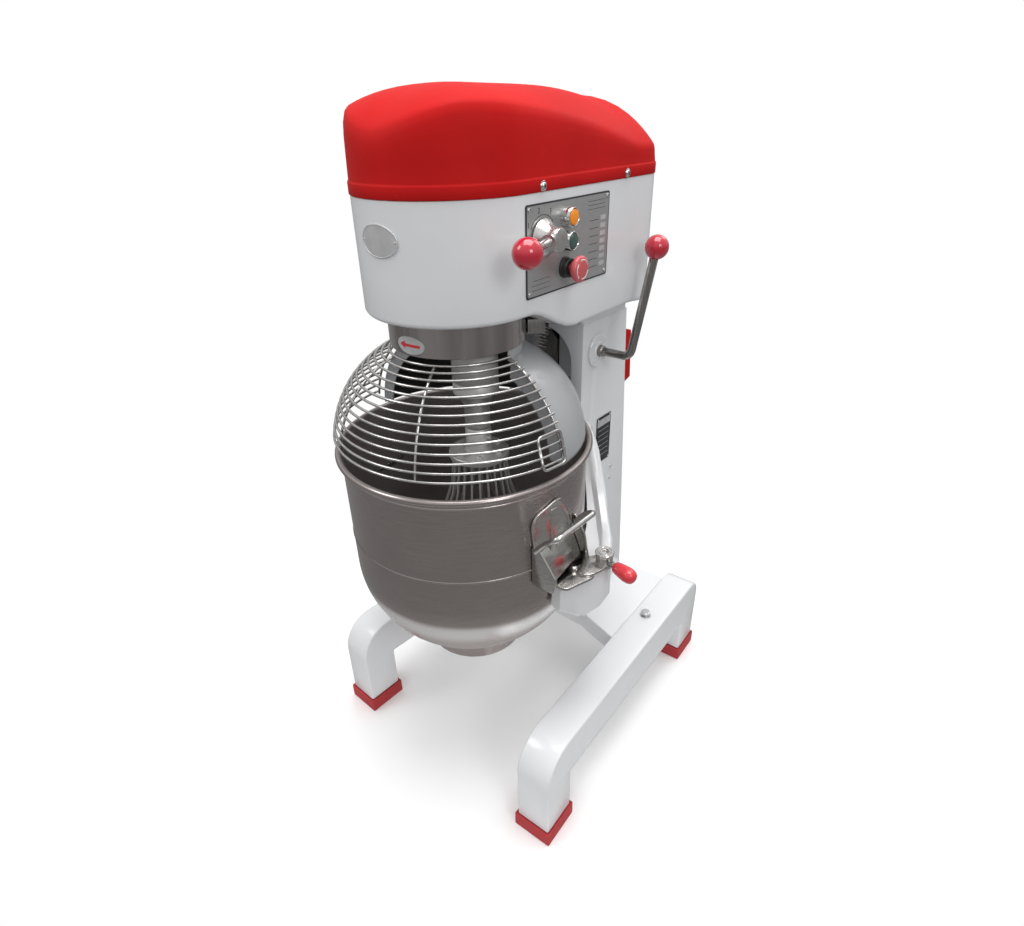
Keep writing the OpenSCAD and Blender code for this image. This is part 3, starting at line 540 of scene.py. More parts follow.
def silvered(name, colour, rough, grain, metal):
    """Anodised or printed sheet metal, brushed one way."""
    m = Maker(name, Metallic=metal)
    lines, cloud = m.noise(40, 4, grain, 0.65), m.noise(6, 3)
    tone = m.mix(m.step(lines, 0.3, 0.7), shade(colour, 0.88), shade(colour, 1.1))
    m.set(Base_Color=m.mix(m.step(cloud, 0.35, 0.7) * 0.4, tone, shade(colour, 0.85)),
          Roughness=lines * 0.12 + cloud * 0.1 + (rough - 0.1))
    m.bump(lines, 0.06, 0.0002)
    return m.material


def finish(kind):
    """The material of that kind, made when it is first asked for."""
    name = f"{kind}_finish"
    if name in bpy.data.materials:
        return bpy.data.materials[name]
    c = bpy.context.scene.mixer_colours
    level, upright, highlight_band_stretch = (1, 1, 30), (14, 14, 0.6), (7, 7, 0.3)
    makers = {
        "enamel": lambda: painted(name, c.enamel),
        "guard_enamel": lambda: painted(name, c.guard_enamel, rough=0.3),
        # The rear dome's inside is near-black: painted shade.
        "guard_inside": lambda: painted(name, (0.05, 0.05, 0.053), rough=0.4),
        "motor_paint": lambda: painted(name, (0.035, 0.07, 0.14), rough=0.4),
        "shell": lambda: moulded(name, c.cover, rough=0.52, grain=700, depth=0.06, shine=0.04),
        "pad_rubber": lambda: moulded(name, c.pads, rough=0.62, grain=1400, depth=0.3, shine=0.2),
        "belt_rubber": lambda: moulded(name, (0.015, 0.015, 0.015), rough=0.7, grain=1200,
                                       depth=0.3),
        "black_plastic": lambda: moulded(name, (0.016, 0.016, 0.018), rough=0.45),
        "black_ink": lambda: moulded(name, (0.02, 0.02, 0.022), rough=0.5),
        "white_ink": lambda: moulded(name, (0.75, 0.75, 0.75), rough=0.5),
        "red_ink": lambda: moulded(name, (0.62, 0.03, 0.04), rough=0.5),
        "knob": lambda: moulded(name, c.knobs, rough=0.16, grain=300, depth=0.02, coat=0.6),
        "grip": lambda: moulded(name, c.grip, rough=0.24, grain=600, depth=0.03, coat=0.4),
        "stop_red": lambda: moulded(name, c.stop, rough=0.34, grain=700, depth=0.05, coat=0.2),
        "yellow_lens": lambda: moulded(name, (0.95, 0.3, 0.01), rough=0.25, grain=500,
                                       depth=0.03, coat=0.4),
        "green_lens": lambda: moulded(name, (0.045, 0.095, 0.08), rough=0.25, grain=500,
                                      depth=0.03, coat=0.4),
        # The bowl's steel carries a painted reflection of the floor round its lower part.
        "bowl_steel": lambda: steel(name, c.bowl, rough=0.27, grain=level, scale=24, depth=0.05,
                                    streak_and_sheen=0.08, spread=0.6, turn=0.25, band=BOWL_REFLECTION_BAND),
        # The collar's broad, strong bands of lighter and darker tone are painted vertical
        # highlights.
        "collar_steel": lambda: steel(name, (0.42, 0.39, 0.38), rough=0.2, grain=highlight_band_stretch, scale=3,
                                      depth=0.02, streak_and_sheen=0.4, spread=0.7, turn=0.25),
        "bright_steel": lambda: steel(name, (0.66, 0.65, 0.64), rough=0.16, scale=120,
                                      depth=0.03),
        "bright_wire": lambda: steel(name, (0.56, 0.55, 0.54), rough=0.18, scale=90, depth=0.02),
        "sheet_steel": lambda: steel(name, (0.52, 0.51, 0.49), rough=0.2, grain=(3, 1, 8),
                                     scale=40, depth=0.06, streak_and_sheen=0.14),
        "zinc_steel": lambda: steel(name, (0.6, 0.6, 0.6), rough=0.3, scale=200),
        "dark_steel": lambda: steel(name, (0.33, 0.315, 0.3), rough=0.24, grain=upright,
                                    scale=20, depth=0.06, streak_and_sheen=0.25),
        "gear_steel": lambda: steel(name, (0.4, 0.4, 0.41), rough=0.35, grain=(1, 1, 12),
                                    scale=40),
        "cast_bright": lambda: steel(name, (0.68, 0.67, 0.66), rough=0.22, scale=70),
        # The bowl's inside is its steel darkened to three quarters: painted shade.
        "bowl_inside": lambda: silvered(name, shade(c.bowl, 0.75), rough=0.42, grain=level,
                                        metal=0.35),
        "plate": lambda: silvered(name, (0.44, 0.44, 0.44), rough=0.34, grain=(1, 1.5, 40),
                                  metal=0.6),
        "badge": lambda: silvered(name, (0.7, 0.7, 0.71), rough=0.4, grain=(1, 1, 1), metal=0.6),
        "whisk_steel": lambda: silvered(name, (0.62, 0.6, 0.59), rough=0.34, grain=(1, 1, 6),
                                        metal=0.5),
    }
    return makers[kind]()


# ------------------------------------------------------------------ settings


def colour(label, what, value):
    """A colour that the user can change."""
    return bpy.props.FloatVectorProperty(name=label, description=what, default=value, size=3,
                                         subtype="COLOR", min=0, max=1)


def length(label, what, value, low, high):
    """A length that the user can change."""
    return bpy.props.FloatProperty(name=label, description=what, default=value, min=low,
                                   max=high)


class MixerColours(bpy.types.PropertyGroup):
    """Colours of the painted and moulded pieces."""

    enamel: colour("Enamel", "Head, column and base", (0.76, 0.77, 0.785))
    guard_enamel: colour("Guard enamel", "Fixed rear guard", (0.36, 0.368, 0.38))
    cover: colour("Cover", "Shell over the drive", (0.49, 0.012, 0.012))
    pads: colour("Pads", "Rubber feet", (0.42, 0.042, 0.045))
    knobs: colour("Knobs", "Ball knobs", (0.5, 0.014, 0.035))
    grip: colour("Grips", "Clamp grips", (0.66, 0.035, 0.05))
    stop: colour("Stop button", "Emergency stop's head", (0.58, 0.1, 0.11))
    bowl: colour("Bowl", "Brushed bowl", (0.4, 0.355, 0.345))


class MixerSizes(bpy.types.PropertyGroup):
    """Sizes of the details, in millimetres."""

    leg_edge: length("Leg edges", "Rounding along the legs, in mm", 4.0, 1, 8)
    head_edge: length("Head edge", "Rounding under the head's front, in mm", 9.0, 4, 35)
    wire: length("Guard wire", "Thickness of the guard's wires, in mm", 4.4, 3, 4.4)
    hoops: bpy.props.IntProperty(name="Hoops", description="Hoops in the wire guard",
                                 default=14, min=8, max=16)
    loops: bpy.props.IntProperty(name="Whisk loops", description="Wire loops in the whisk",
                                 default=11, min=5, max=16)
    guard_fin: length("Guard fin", "Width of the strip along the rear guard's edge, in mm",
                      24.0, 5, 30)


class Step(bpy.types.Operator):
    """One step of the build"""

    bl_idname = "mixer.step"
    bl_label = "Step"

    def execute(self, context):
        self.build(context.scene.mixer_sizes)
        return {"FINISHED"}

    def build(self, sizes):
        raise NotImplementedError(self.bl_idname)


# ------------------------------------------------------------------ base

LEG_W, LEG_L, LEG_X, LEG_Y, LEG_SPLAY = 73, 680, 260.5, -144, 2.1
PAD_H, PAD_LIP, FOOT_D = 34, 4.5, 80


def leg_place(side):
    """The place of a leg: its front end on the floor, splayed outwards."""
    place = at(LEG_X, LEG_Y) @ turned(LEG_SPLAY)
    return place if side > 0 else MIRROR_X @ place


def hex_bolt(head=9.5, height=8, washer=13):
    """A hexagon head on a washer, standing on the origin."""
    shape = Shape()
    shape.add(rod(washer, 2.2, 0.5))
    shape.add(lathe([(0, 2), (head * 0.96, 2), (head * 0.96, 2.6), (0, 2.6)], 32))
    outline = arc((0, 0), head * 1.12, 0, 300, 5)
    shape.add(prism(outline, height, 0.7), at(z=2.4))
    shape.add(lathe([(0, 0), (head * 0.8, 0), (head * 0.8, 0.5), (0, 0.9)], 32),
              at(z=2.4 + height))
    return shape.bm


class MIXER_OT_base(Step):
    """Builds the legs, their pads and bolts, and the platform between them"""

    bl_idname = "mixer.base"
    bl_label = "Base"

    def build(self, sizes):
        front_r, back_r, top_front, top_back = 72, 46, 231, 219.5
        under_front, under_back, foot_z, bolt_y = 135, 116, PAD_H - 2, 470
        outline = ([(0, foot_z)] + arc((front_r, top_front - front_r), front_r, 180, 92, 20)
                   + arc((LEG_L - back_r, top_back - back_r), back_r, 88, 0, 12)
                   + [(LEG_L, foot_z), (LEG_L - FOOT_D, foot_z), (LEG_L - FOOT_D, under_back),
                      (FOOT_D, under_front), (FOOT_D, foot_z)])
        for side, name in ((-1, "left_leg"), (1, "right_leg")):
            leg = prism(outline, LEG_W)
            soften(leg, sizes.leg_edge, 3, 40)
            shape = Shape().add(leg, leg_place(side) @ at(x=-LEG_W / 2) @ SIDEWAYS)
            piece(f"{name}_skin", shape, "enamel", "frame", [name])
        pads, bolts = Shape(), Shape()
        half = LEG_W / 2 + PAD_LIP
        depth = FOOT_D + 2 * PAD_LIP
        for side in (-1, 1):
            for y in (-PAD_LIP, LEG_L - FOOT_D - PAD_LIP):
                pad = box((2 * half, depth, PAD_H), 2.2)
                top = max(pad.faces, key=lambda f: f.calc_center_median().z)
                bmesh.ops.inset_region(pad, faces=[top], thickness=2.2, depth=0)
                bmesh.ops.translate(pad, vec=(0, 0, -2.5), verts=top.verts)
                pads.add(pad, leg_place(side) @ at(0, y + depth / 2, PAD_H / 2))
            slope = math.atan((top_front - top_back) / (LEG_L - front_r - back_r))
            z = top_front - (bolt_y - front_r) * math.tan(slope)
            bolts.add(hex_bolt(), leg_place(side) @ at(-8, bolt_y, z)
                      @ Matrix.Rotation(-slope, 4, "X"))
        piece("pad_set", pads, "pad_rubber", "frame", ["foot_pads"])
        piece("leg_bolts", bolts, "zinc_steel", "frame", ["base_bolts"])
        piece("platform", from_cad("base_platform", 2.5), "enamel", "frame",
              ["base_platform"])


# ------------------------------------------------------------------ column


def pan_screw(radius=5, height=2.6):
    """A domed screw head with a cross recess painted on as shade, standing on the origin."""
    shape = Shape()
    dome = [(0, 0), (radius, 0), (radius, height * 0.35)]
    dome += [(radius * math.cos(math.radians(a)),
              height * (0.35 + 0.65 * math.sin(math.radians(a)))) for a in (25, 50, 75)]
    shape.add(lathe(dome + [(0, height)], 28))
    # The cross recess is not cut: two thin black boxes on the dome paint its shade.
    for turn in (0, 90):
        shape.add(box((radius * 1.1, radius * 0.24, 0.25)),
                  at(z=height) @ turned(turn), 1)
    return shape.bm


def socket_screw(radius=4, height=3):
    """A cylinder head with a round recess, standing on the origin."""
    return lathe([(0, 0), (radius, 0), (radius, height - 0.5), (radius - 0.5, height),
                  (radius * 0.55, height), (radius * 0.5, height * 0.4), (0, height * 0.4)], 28)


class MIXER_OT_column(Step):
    """Builds the column with its rear cover, bare side plate and gland"""

    bl_idname = "mixer.column"
    bl_label = "Column"

    def build(self, sizes):
        piece("column_casting", from_cad("column", 3.0, 3), "enamel", "frame",
              ["column"])
        piece("rear_cover", from_cad("column_rear_cover", 2.0, 3), "shell", "frame",
              ["column_rear_cover"])
        screws = Shape()
        for x in (-70, 70):
            for z in (772, 846):
                back = COLUMN_FRONT + 209 - 52 * (z - 219) / 696
                screws.add(pan_screw(), at(x, back + 22, z, (0, 1, 0.07)))
        # The second finish is the black of the screws' painted recess shade.
        piece("rear_cover_screw_set", screws, "zinc_steel black_ink", "frame",
              ["rear_cover_screws"])
        plate = Shape()
        middle = COLUMN_FRONT + 89.5
        plate.add(box((1.2, 55, 110), 0.4), at(COLUMN_HALF + 0.9, middle, 645), 1)
        plate.add(box((0.3, 50, 16)), at(COLUMN_HALF + 1.5, middle, 686))
        for z in range(668, 600, -12):
            plate.add(box((0.24, 40, 0.8)), at(COLUMN_HALF + 1.55, middle, z))
        for y in (middle - 23, middle + 23):
            for z in (594, 696):
                plate.add(socket_screw(2.2, 1.4), at(COLUMN_HALF + 1.5, y, z, (1, 0, 0)))
        for z in (530, 560):
            plate.add(socket_screw(4, 2.4), at(COLUMN_HALF + 0.2, COLUMN_FRONT + 128, z,
                                               (1, 0, 0)))
        piece("side_plate_bare", plate, "badge black_ink", "frame",
              ["side_plate"])
        dress("slide_ways", "sheet_steel")
        dress("cable_gland", "black_plastic")


# ------------------------------------------------------------------ head


def u_plan(radius, corner, across_steps=16, front_steps=48):
    """Plan outline of the head, from its rear left corner round the front."""
    back = HEAD_BACK - HEAD_CORNER
    rows = [back * (1 - i / across_steps) for i in range(1, across_steps)]
    rear = arc((radius - corner, back), corner, 0, 90, 8)
    right = arc((0, 0), radius, 270 + 90 / front_steps, 360, front_steps // 2)
    right += [(radius, y) for y in reversed(rows)] + rear
    return [(-x, y) for x, y in reversed(right)] + right


def underside(y):
    """Height of the head's lower edge at a distance behind the bowl's axis."""
    return HEAD_FLOOR_Z - 44 * ease(y, 12, 136) - 9 * ease(y, 300, 400)


class MIXER_OT_head(Step):
    """Builds the head's housing with the neck that runs into the column, and its badge"""

    bl_idname = "mixer.head"
    bl_label = "Head"

    def build(self, sizes):
        edge = sizes.head_edge
        rings = [[(x, y, COVER_Z - 0.2) for x, y in u_plan(HEAD_R - 6, HEAD_CORNER - 6)],
                 [(x, y, COVER_Z - 0.2) for x, y in u_plan(HEAD_R - 0.8, HEAD_CORNER - 0.8)],
                 [(x, y, COVER_Z - 1.0) for x, y in u_plan(HEAD_R, HEAD_CORNER)]]
        for share in (0.33, 0.66):
            rings.append([(x, y, COVER_Z + (underside(y) + edge - COVER_Z) * share)
                          for x, y in u_plan(HEAD_R, HEAD_CORNER)])
        for turn in range(0, 91, 15):
            a = math.radians(turn)
            inset = edge * (1 - math.cos(a))
            rings.append([(x, y, underside(y) + edge * (1 - math.sin(a)))
                          for x, y in u_plan(HEAD_R - inset, HEAD_CORNER - inset)])
        body = loft(rings, False)
        for lower in (True, False):
            end = [e for e in open_edges(body) if (e.verts[0].co.z < COVER_Z - 5) == lower]
            bmesh.ops.bridge_loops(body, edges=off_middle(end))
        bmesh.ops.holes_fill(body, edges=open_edges(body), sides=6)
        bmesh.ops.recalc_face_normals(body, faces=body.faces)
        neck_rows = ((1000, 122, 168, 44, 392), (966, 122, 172, 44, 392), (955, 118, 184, 40, 392),
                     (946, 111, 200, 34, 392), (938, 104, 216, 26, 392), (930, 98, 228, 18, 393),
                     (922, 94, 235, 12, 394), (915.4, 92, 238, 8, 394.5))
        neck = loft([[(x, y, z) for x, y in rounded_outline(half, front, back, corner)]
                     for z, half, front, corner, back in neck_rows])
        piece("head_casting", united(body, neck), "enamel", "frame",
              ["head_housing"], sharp=42)
        badge = Shape()
        bend = Shape().add(
            lathe([(0, 0), (1, 0), (1, 1.3), (0.985, 1.8), (0.945, 1.8), (0.93, 1.3), (0.8, 1.3),
                   (0.6, 1.3), (0.4, 1.3), (0.2, 1.3), (0, 1.3)], 72),
            Matrix.Diagonal((37, 22.5, 1, 1)))
        for x in (-32, 32):
            bend.add(socket_screw(1.8, 1.0), at(x, 0, 1.2))
        for v in bend.bm.verts:
            a = v.co.x / HEAD_R
            r = HEAD_R + v.co.z + 0.1
            v.co = Vector((r * math.sin(a), -r * math.cos(a), 1113 + v.co.y))
        bmesh.ops.recalc_face_normals(bend.bm, faces=bend.bm.faces)
        badge.add(bend.bm)
        piece("badge_bare", badge, "badge", "frame", ["badge_plate"])


def crease_height(y):
    """Height of the crease between the cover's side and its top."""
    front, behind = HEAD_R - 5, max(0.0, y + 70)
    reach = min(1.0, math.acos(max(-1.0, min(1.0, -y / front))) / math.acos(70 / front))
    rise = (math.sin(math.pi / 2 * reach) + ease(reach, 0, 1)) / 2
    return COVER_TOP_Z - 28 - 37 * (1 - rise) - min(63, 0.05 * behind + 0.0003 * behind ** 2)


class MIXER_OT_cover(Step):
    """Builds the moulded cover over the drive and its screws"""

    bl_idname = "mixer.cover"
    bl_label = "Cover"

    def build(self, sizes):
        low = COVER_Z + 0.3
        rings = []
        for inset, z in ((3, low + 2), (2.6, low), (0.6, low), (0, low + 1), (0, low + 9),
                         (0, COVER_Z + 16), (0.6, COVER_Z + 17.6), (1.6, COVER_Z + 18.4),
                         (1.9, COVER_Z + 20)):
            rings.append([(x, y, z) for x, y in u_plan(HEAD_R + 1.5 - inset, HEAD_CORNER - inset)])
        for inset, share in ((2.6, 0.35), (3.6, 0.7), (4.6, 0.87)):
            rings.append([(x, y, COVER_Z + 20 + share * (crease_height(y) - COVER_Z - 20))
                          for x, y in u_plan(HEAD_R + 1.5 - inset, HEAD_CORNER - inset)])
        for share in (0, 0.03, 0.07, 0.12, 0.19, 0.28, 0.4, 0.54, 0.7, 0.86):
            ring = []
            for x, y in u_plan(HEAD_R - 7, HEAD_CORNER - 8.5):
                ridge_y = min(max(y, 6), HEAD_BACK - 118)
                ridge_z = COVER_TOP_Z - 1.4 - 0.0005 * max(0, ridge_y - 130) ** 2
                z = crease_height(y) + 1.5
                z += (ridge_z - z) * (1 - (1 - share) ** 2.6)
                ring.append((x * (1 - share), y + (ridge_y - y) * share, z))
            rings.append(ring)
        shell = loft(rings, False)
        near_top = COVER_TOP_Z - 65
        bmesh.ops.bridge_loops(shell, edges=off_middle(open_edges(shell, near_top)))
        bmesh.ops.holes_fill(shell, edges=open_edges(shell, near_top), sides=6)
        for _ in range(2):
            soft = [v for v in shell.verts if v.co.z > COVER_Z + 24]
            bmesh.ops.smooth_vert(shell, verts=soft, factor=0.5, use_axis_x=True,
                                  use_axis_y=True, use_axis_z=True)
        bmesh.ops.recalc_face_normals(shell, faces=shell.faces)
        if sum(f.normal.z for f in shell.faces
               if f.calc_center_median().z > COVER_TOP_Z - 35) < 0:
            bmesh.ops.reverse_faces(shell, faces=shell.faces)
        piece("cover_shell", shell, "shell", "frame", ["top_cover"], sharp=50,
              modifiers=[("SOLIDIFY", {"thickness": 0.0026, "offset": -1.0})])
        screws = Shape()
        for side in (-1, 1):
            for y in (39, 270):
                place = at(side * (HEAD_R + 1.7), y, COVER_Z + 7.5, (side, 0, 0))
                screws.add(rod(7.2, 1.2, 0.4, hollow=3), place.copy())
                screws.add(pan_screw(5.2, 3.0), place @ at(z=1.0))
        # The second finish is the black of the screws' painted recess shade.
        piece("cover_screw_set", screws, "bright_steel black_ink", "frame",
              ["cover_screws"])


# ------------------------------------------------------------------ controls


def on_panel(y, z, out=0.0):
    """A place on the panel where Z points away from it."""
    return at(PANEL_X + out, y, z, (1, 0, 0))


def flat_on_panel(y, z, out):
    """A place on the panel where X runs to the back and Y up."""
    return Matrix.Translation((PANEL_X + out, y, z)) @ SIDEWAYS


class MIXER_OT_controls(Step):
    """Builds the control plate, buttons, emergency stop and speed selector"""

    bl_idname = "mixer.controls"
    bl_label = "Controls"

    def build(self, sizes):
        y0, y1, z0, z1 = -1, 218, 1021, 1152
        middle = ((y0 + y1) / 2, (z0 + z1) / 2)
        plate = Shape()
        sheet = prism(rounded_rect(y1 - y0, z1 - z0, 4), 1.2, 0.3)
        plate.add(sheet, flat_on_panel(*middle, -1.2), 1)
        plate.add(prism(rounded_rect(y1 - y0 - 5, z1 - z0 - 5, 3), 0.25),
                  flat_on_panel(*middle, -0.02))
        for y in (y0 + 7, y1 - 7):
            for z in (z0 + 7, z1 - 7):
                plate.add(socket_screw(3.2, 1.8), on_panel(y, z, 0.15), 2)
        scale = arc(SPEED_HUB, 32, 40, 152, 28)
        track = [(PANEL_X + 0.35, y, z) for y, z in scale]
        plate.add(wire(track, 0.45, 4), None, 1)
        for number, turn in (("1", 148), ("2", 104), ("3", 62)):
            y, z = arc(SPEED_HUB, 39, turn, turn, 1)[0]
            plate.add(letters(number, 11, 0.12), flat_on_panel(y, z, 0.25), 1)
        for row in range(7):
            z = 1112 - row * 12
            plate.add(box((26, 0.8, 0.16)), flat_on_panel(174, z, 0.28), 1)
            plate.add(box((15, 7, 0.16)), flat_on_panel(200, z + 2, 0.28), 3)
        for row in range(3):
            plate.add(box((44, 0.6, 0.16)), flat_on_panel(34, 1046 - row * 7, 0.28), 1)
            plate.add(box((50, 0.6, 0.16)), flat_on_panel(180, 1141 - row * 6, 0.28), 1)
        piece("control_panel", plate, "plate black_ink zinc_steel badge", "frame",
              ["control_plate", "plate_screws"])
        bezels = Shape()
        for z in (YELLOW_Z, GREEN_Z):
            bezels.add(lathe([(11.8, 0), (14.5, 0), (14.5, 15.4), (13.8, 16.3), (12.6, 16.5),
                              (11.8, 15.6), (11.8, 0)], 56),
                       on_panel(BUTTON_Y, z, 0.1))
        piece("bezel_set", bezels, "bright_steel", "frame", ["button_bezels"])
        for name, z, lens in (("yellow_button", YELLOW_Z, "yellow_lens"),
                              ("green_button", GREEN_Z, "green_lens")):
            cap = Shape()
            cap.add(lathe([(0, -24), (4.9, -24), (4.9, 7), (11.4, 7), (11.4, 15.6), (10.6, 16.9),
                           (6, 17.7), (0, 18)], 48), on_panel(BUTTON_Y, z))
            body = "start_button" if name.startswith("yellow") else "run_button"
            piece(f"{name}_cap", cap, lens, body, [name])
        piece("stop_collar", Shape().add(
            lathe([(7.2, 0), (16, 0), (16, 3), (14.5, 4), (14.5, 11), (13.6, 12), (7.2, 12),
                   (7.2, 0)], 48), on_panel(BUTTON_Y, STOP_Z, 0.1)),
            "black_plastic", "frame", ["estop_base"])
        stop = Shape()
        stop.add(lathe([(0, -24), (5.4, -24), (5.4, 17), (12.4, 18), (14, 20), (16.6, 23.4),
                        (19.2, 24.6), (20, 26.4), (20, 29.6), (19, 31.6), (16, 33.2), (9, 33.9),
                        (0, 34)], 56), on_panel(BUTTON_Y, STOP_Z))
        for turn in (20, 140, 260):
            ring = [(PANEL_X + 33.3, BUTTON_Y + y, STOP_Z + z)
                    for y, z in arc((0, 0), 14.2, turn, turn + 78, 10)]
            stop.add(wire(ring, 0.8, 4), None, 1)
            tip = arc((0, 0), 14.2, turn + 84, turn + 84, 1)[0]
            stop.add(prism(arc((0, 0), 2.6, turn - 6, turn + 234, 2), 0.5),
                     flat_on_panel(BUTTON_Y + tip[0], STOP_Z + tip[1], 33.0), 1)
        piece("stop_head", stop, "stop_red white_ink", "stop_button",
              ["estop_head"])
        self.selector()

    def selector(self):
        """The speed selector's boss, lever and ball."""
        hub = Shape()
        y, z = SPEED_HUB
        hub.add(rod(11, 34, 0.5), at(HEAD_R - 30, y, z, (1, 0, 0)))
        hub.add(lathe([(0, 0), (27, 0), (27.5, 1.5), (26.4, 4), (22, 9), (18.6, 15), (17.2, 22),
                       (17, 29), (16, 31), (13, 31.8), (0, 32)], 56),
                at(PANEL_X + 2, y, z, (1, 0, 0)))
        arm = bends([(PANEL_X + 16, y, z), (PANEL_X + 20, y - 8, z),
                     (PANEL_X + 27, y - 24, z - 0.5)], 6)
        hub.add(wire(arm, 11, 24))
        piece("selector_boss", hub, "cast_bright", "speed_selector",
              ["speed_hub"])
        start = Vector((PANEL_X + 26, y - 19.2, z))
        run = Vector(SPEED_BALL) - start
        reach = run.length - 19
        lever = lathe([(0, 0), (7.5, 0), (7.5, 3), (6, 5), (5.4, reach * 0.5), (6, reach - 3),
                       (6, reach), (0, reach)], 32)
        piece("selector_lever", Shape().add(lever, at(*start, run)), "bright_steel",
              "speed_selector", ["speed_lever"])
        piece("selector_ball", Shape().add(knob(21), at(*SPEED_BALL, -run)), "knob",
              "speed_selector", ["speed_ball"])


# ------------------------------------------------------------------ collar and guard


class MIXER_OT_collar(Step):
    """Builds the steel collar, the guard's switch and the fixed rear guard"""

    bl_idname = "mixer.collar"
    bl_label = "Collar and rear guard"

    def build(self, sizes):
        high = HEAD_FLOOR_Z - 0.2 - COLLAR_Z
        ring = Shape()
        bore = COLLAR_R - COLLAR_WALL
        ring.add(lathe([(bore, 0.8), (bore + 0.9, 0), (COLLAR_R - 0.8, 0), (COLLAR_R, 0.8),
                        (COLLAR_R, high), (bore, high), (bore, 0.8)], 160), at(z=COLLAR_Z))
        plate = Shape()
        plate.add(lathe([(0, 0), (1, 0), (1, 0.3), (0.75, 0.3), (0.5, 0.3), (0.25, 0.3), (0, 0.3)],
                        48), Matrix.Diagonal((28, 14, 1, 1)), 1)
        shaft = [(-20, 1.2), (-10, 6), (-10, 2.2), (20, 2.2), (20, -2.2), (-10, -2.2), (-10, -6),
                 (-20, -1.2)]
        plate.add(prism(shaft, 0.3), at(z=0.25), 2)
        bmesh.ops.subdivide_edges(plate.bm, edges=[e for e in plate.bm.edges
                                                   if e.calc_length() > 9], cuts=4)
        bmesh.ops.triangulate(plate.bm, faces=plate.bm.faces)
        middle = math.radians(-87)
        for v in plate.bm.verts:
            a = middle + v.co.x / COLLAR_R
            r = COLLAR_R + v.co.z
            v.co = Vector((r * math.cos(a), r * math.sin(a), COLLAR_Z + 17 + v.co.y))
        bmesh.ops.recalc_face_normals(plate.bm, faces=plate.bm.faces)
        ring.add(plate.bm)
        piece("collar_ring", ring, "collar_steel badge red_ink", "frame",
              ["collar"])
        switch = Shape()
        switch.add(box((30, 44, 25), 1.5), at(15, 0, 12.5))
        for y in (-10, 10):
            switch.add(lathe([(0, -2), (4.6, -2), (4.8, 0.2), (5.6, 0.4), (5.6, 0), (0, 0)], 24),
                       at(0, y, 12.5, (-1, 0, 0)), 1)
            switch.add(lathe([(0, 0), (4.6, 0), (5.6, 0.4), (5.8, 0), (0, 0.1)], 24),
                       at(30, y, 12.5, (1, 0, 0)), 1)
        turn = turned(48) @ at(COLLAR_R + 0.3, 0, COLLAR_Z + 3)
        piece("switch_block", Shape().add(switch.bm, turn, 0), "dark_steel", "frame",
              ["guard_switch"])
        self.rear(sizes)

    def rear(self, sizes):
        """The painted half dome, its edge strips and its upright lip."""
        r = GUARD_R - 11
        lip = COLLAR_R - COLLAR_WALL - 0.3
        low = math.degrees(math.asin((RIM_Z + 8 - GUARD_CENTRE[1]) / r))
        high = math.degrees(math.acos((lip - 2 - GUARD_CENTRE[0]) / r))
        outer = arc(GUARD_CENTRE, r, low, high, 40)
        outer += [(lip - 2, COLLAR_Z + 3)]
        # The dome's inner skin takes the second finish, near-black: painted shade.
        dome = piece("rear_dome", lathe(outer, 96, 180), "guard_enamel guard_inside", "frame",
                     ["rear_guard"], modifiers=[("SOLIDIFY", {
                         "thickness": 0.002, "offset": -1.0, "material_offset": 1,
                         "material_offset_rim": 0})])
        inside = dome.data.polygons[len(dome.data.polygons) // 3]
        middle = Vector((0, AXIS_Y, GUARD_CENTRE[1])) * 0.001
        if inside.normal.dot(inside.center - middle) < 0:
            dome.data.flip_normals()
        fins = Shape()
        band = (arc(GUARD_CENTRE, r - 2.2, low + 1, high - 2, 36)
                + list(reversed(arc(GUARD_CENTRE, r - 2.2 - sizes.guard_fin, low + 1, high - 5,
                                    36))))
        for turn in (0, 180):
            fins.add(prism(band, 2),
                     turned(turn) @ at(y=2.5 if turn == 0 else 0.5) @ turned(90, "X"))
        piece("rear_dome_fins", fins, "guard_enamel", "frame")


class MIXER_OT_guard(Step):
    """Builds the swinging wire guard with its loop handle"""

    bl_idname = "mixer.guard"
    bl_label = "Wire guard"

    def build(self, sizes):
        top = math.degrees(math.acos((COLLAR_R + 0.3 + 2.2 - GUARD_CENTRE[0]) / GUARD_R))
        radius = sizes.wire / 2
        hoops = Shape()
        for i in range(sizes.hoops):
            a = math.radians(top + (GUARD_LOW - top) * i / (sizes.hoops - 1))
            r = GUARD_CENTRE[0] + GUARD_R * math.cos(a)
            z = GUARD_CENTRE[1] + GUARD_R * math.sin(a)
            path = [(x, y, z) for x, y in arc((0, 0), r, 181.2, 358.8, 72)]
            hoops.add(wire(path, radius, 12))
        piece("hoop_wires", hoops, "bright_wire", "guard", ["guard_hoops"],
              sharp=60)
        rods = Shape()
        for turn in (-2, -66, -114, -178):
            path = [(x, 0, z) for x, z in arc(GUARD_CENTRE, GUARD_R - sizes.wire + 0.1,
                                              GUARD_LOW - 1, top + 0.5, 40)]
            rods.add(wire(path, radius, 12), turned(turn))
        piece("rod_wires", rods, "bright_wire", "guard", ["guard_rods"],
              sharp=60)
        r = GUARD_R + 3.7
        loop = []
        for angle, side in ((8, -1), (24, -1), (24, 1), (8, 1), (8, -1)):
            (x, z), = arc(GUARD_CENTRE, r, angle, angle, 1)[:1]
            loop.append((x, side * 24, z))
        middle = [((a[0] + b[0]) / 2, (a[1] + b[1]) / 2, (a[2] + b[2]) / 2)
                  for a, b in zip(loop[:1], loop[1:2])]
        path = bends(middle + loop[1:4] + loop[:1] + middle, 9)
        piece("guard_loop", Shape().add(wire(path, 2.5, 14), turned(-9)),
              "bright_wire", "guard", ["guard_handle"], sharp=60)


# ------------------------------------------------------------------ drive and whisk


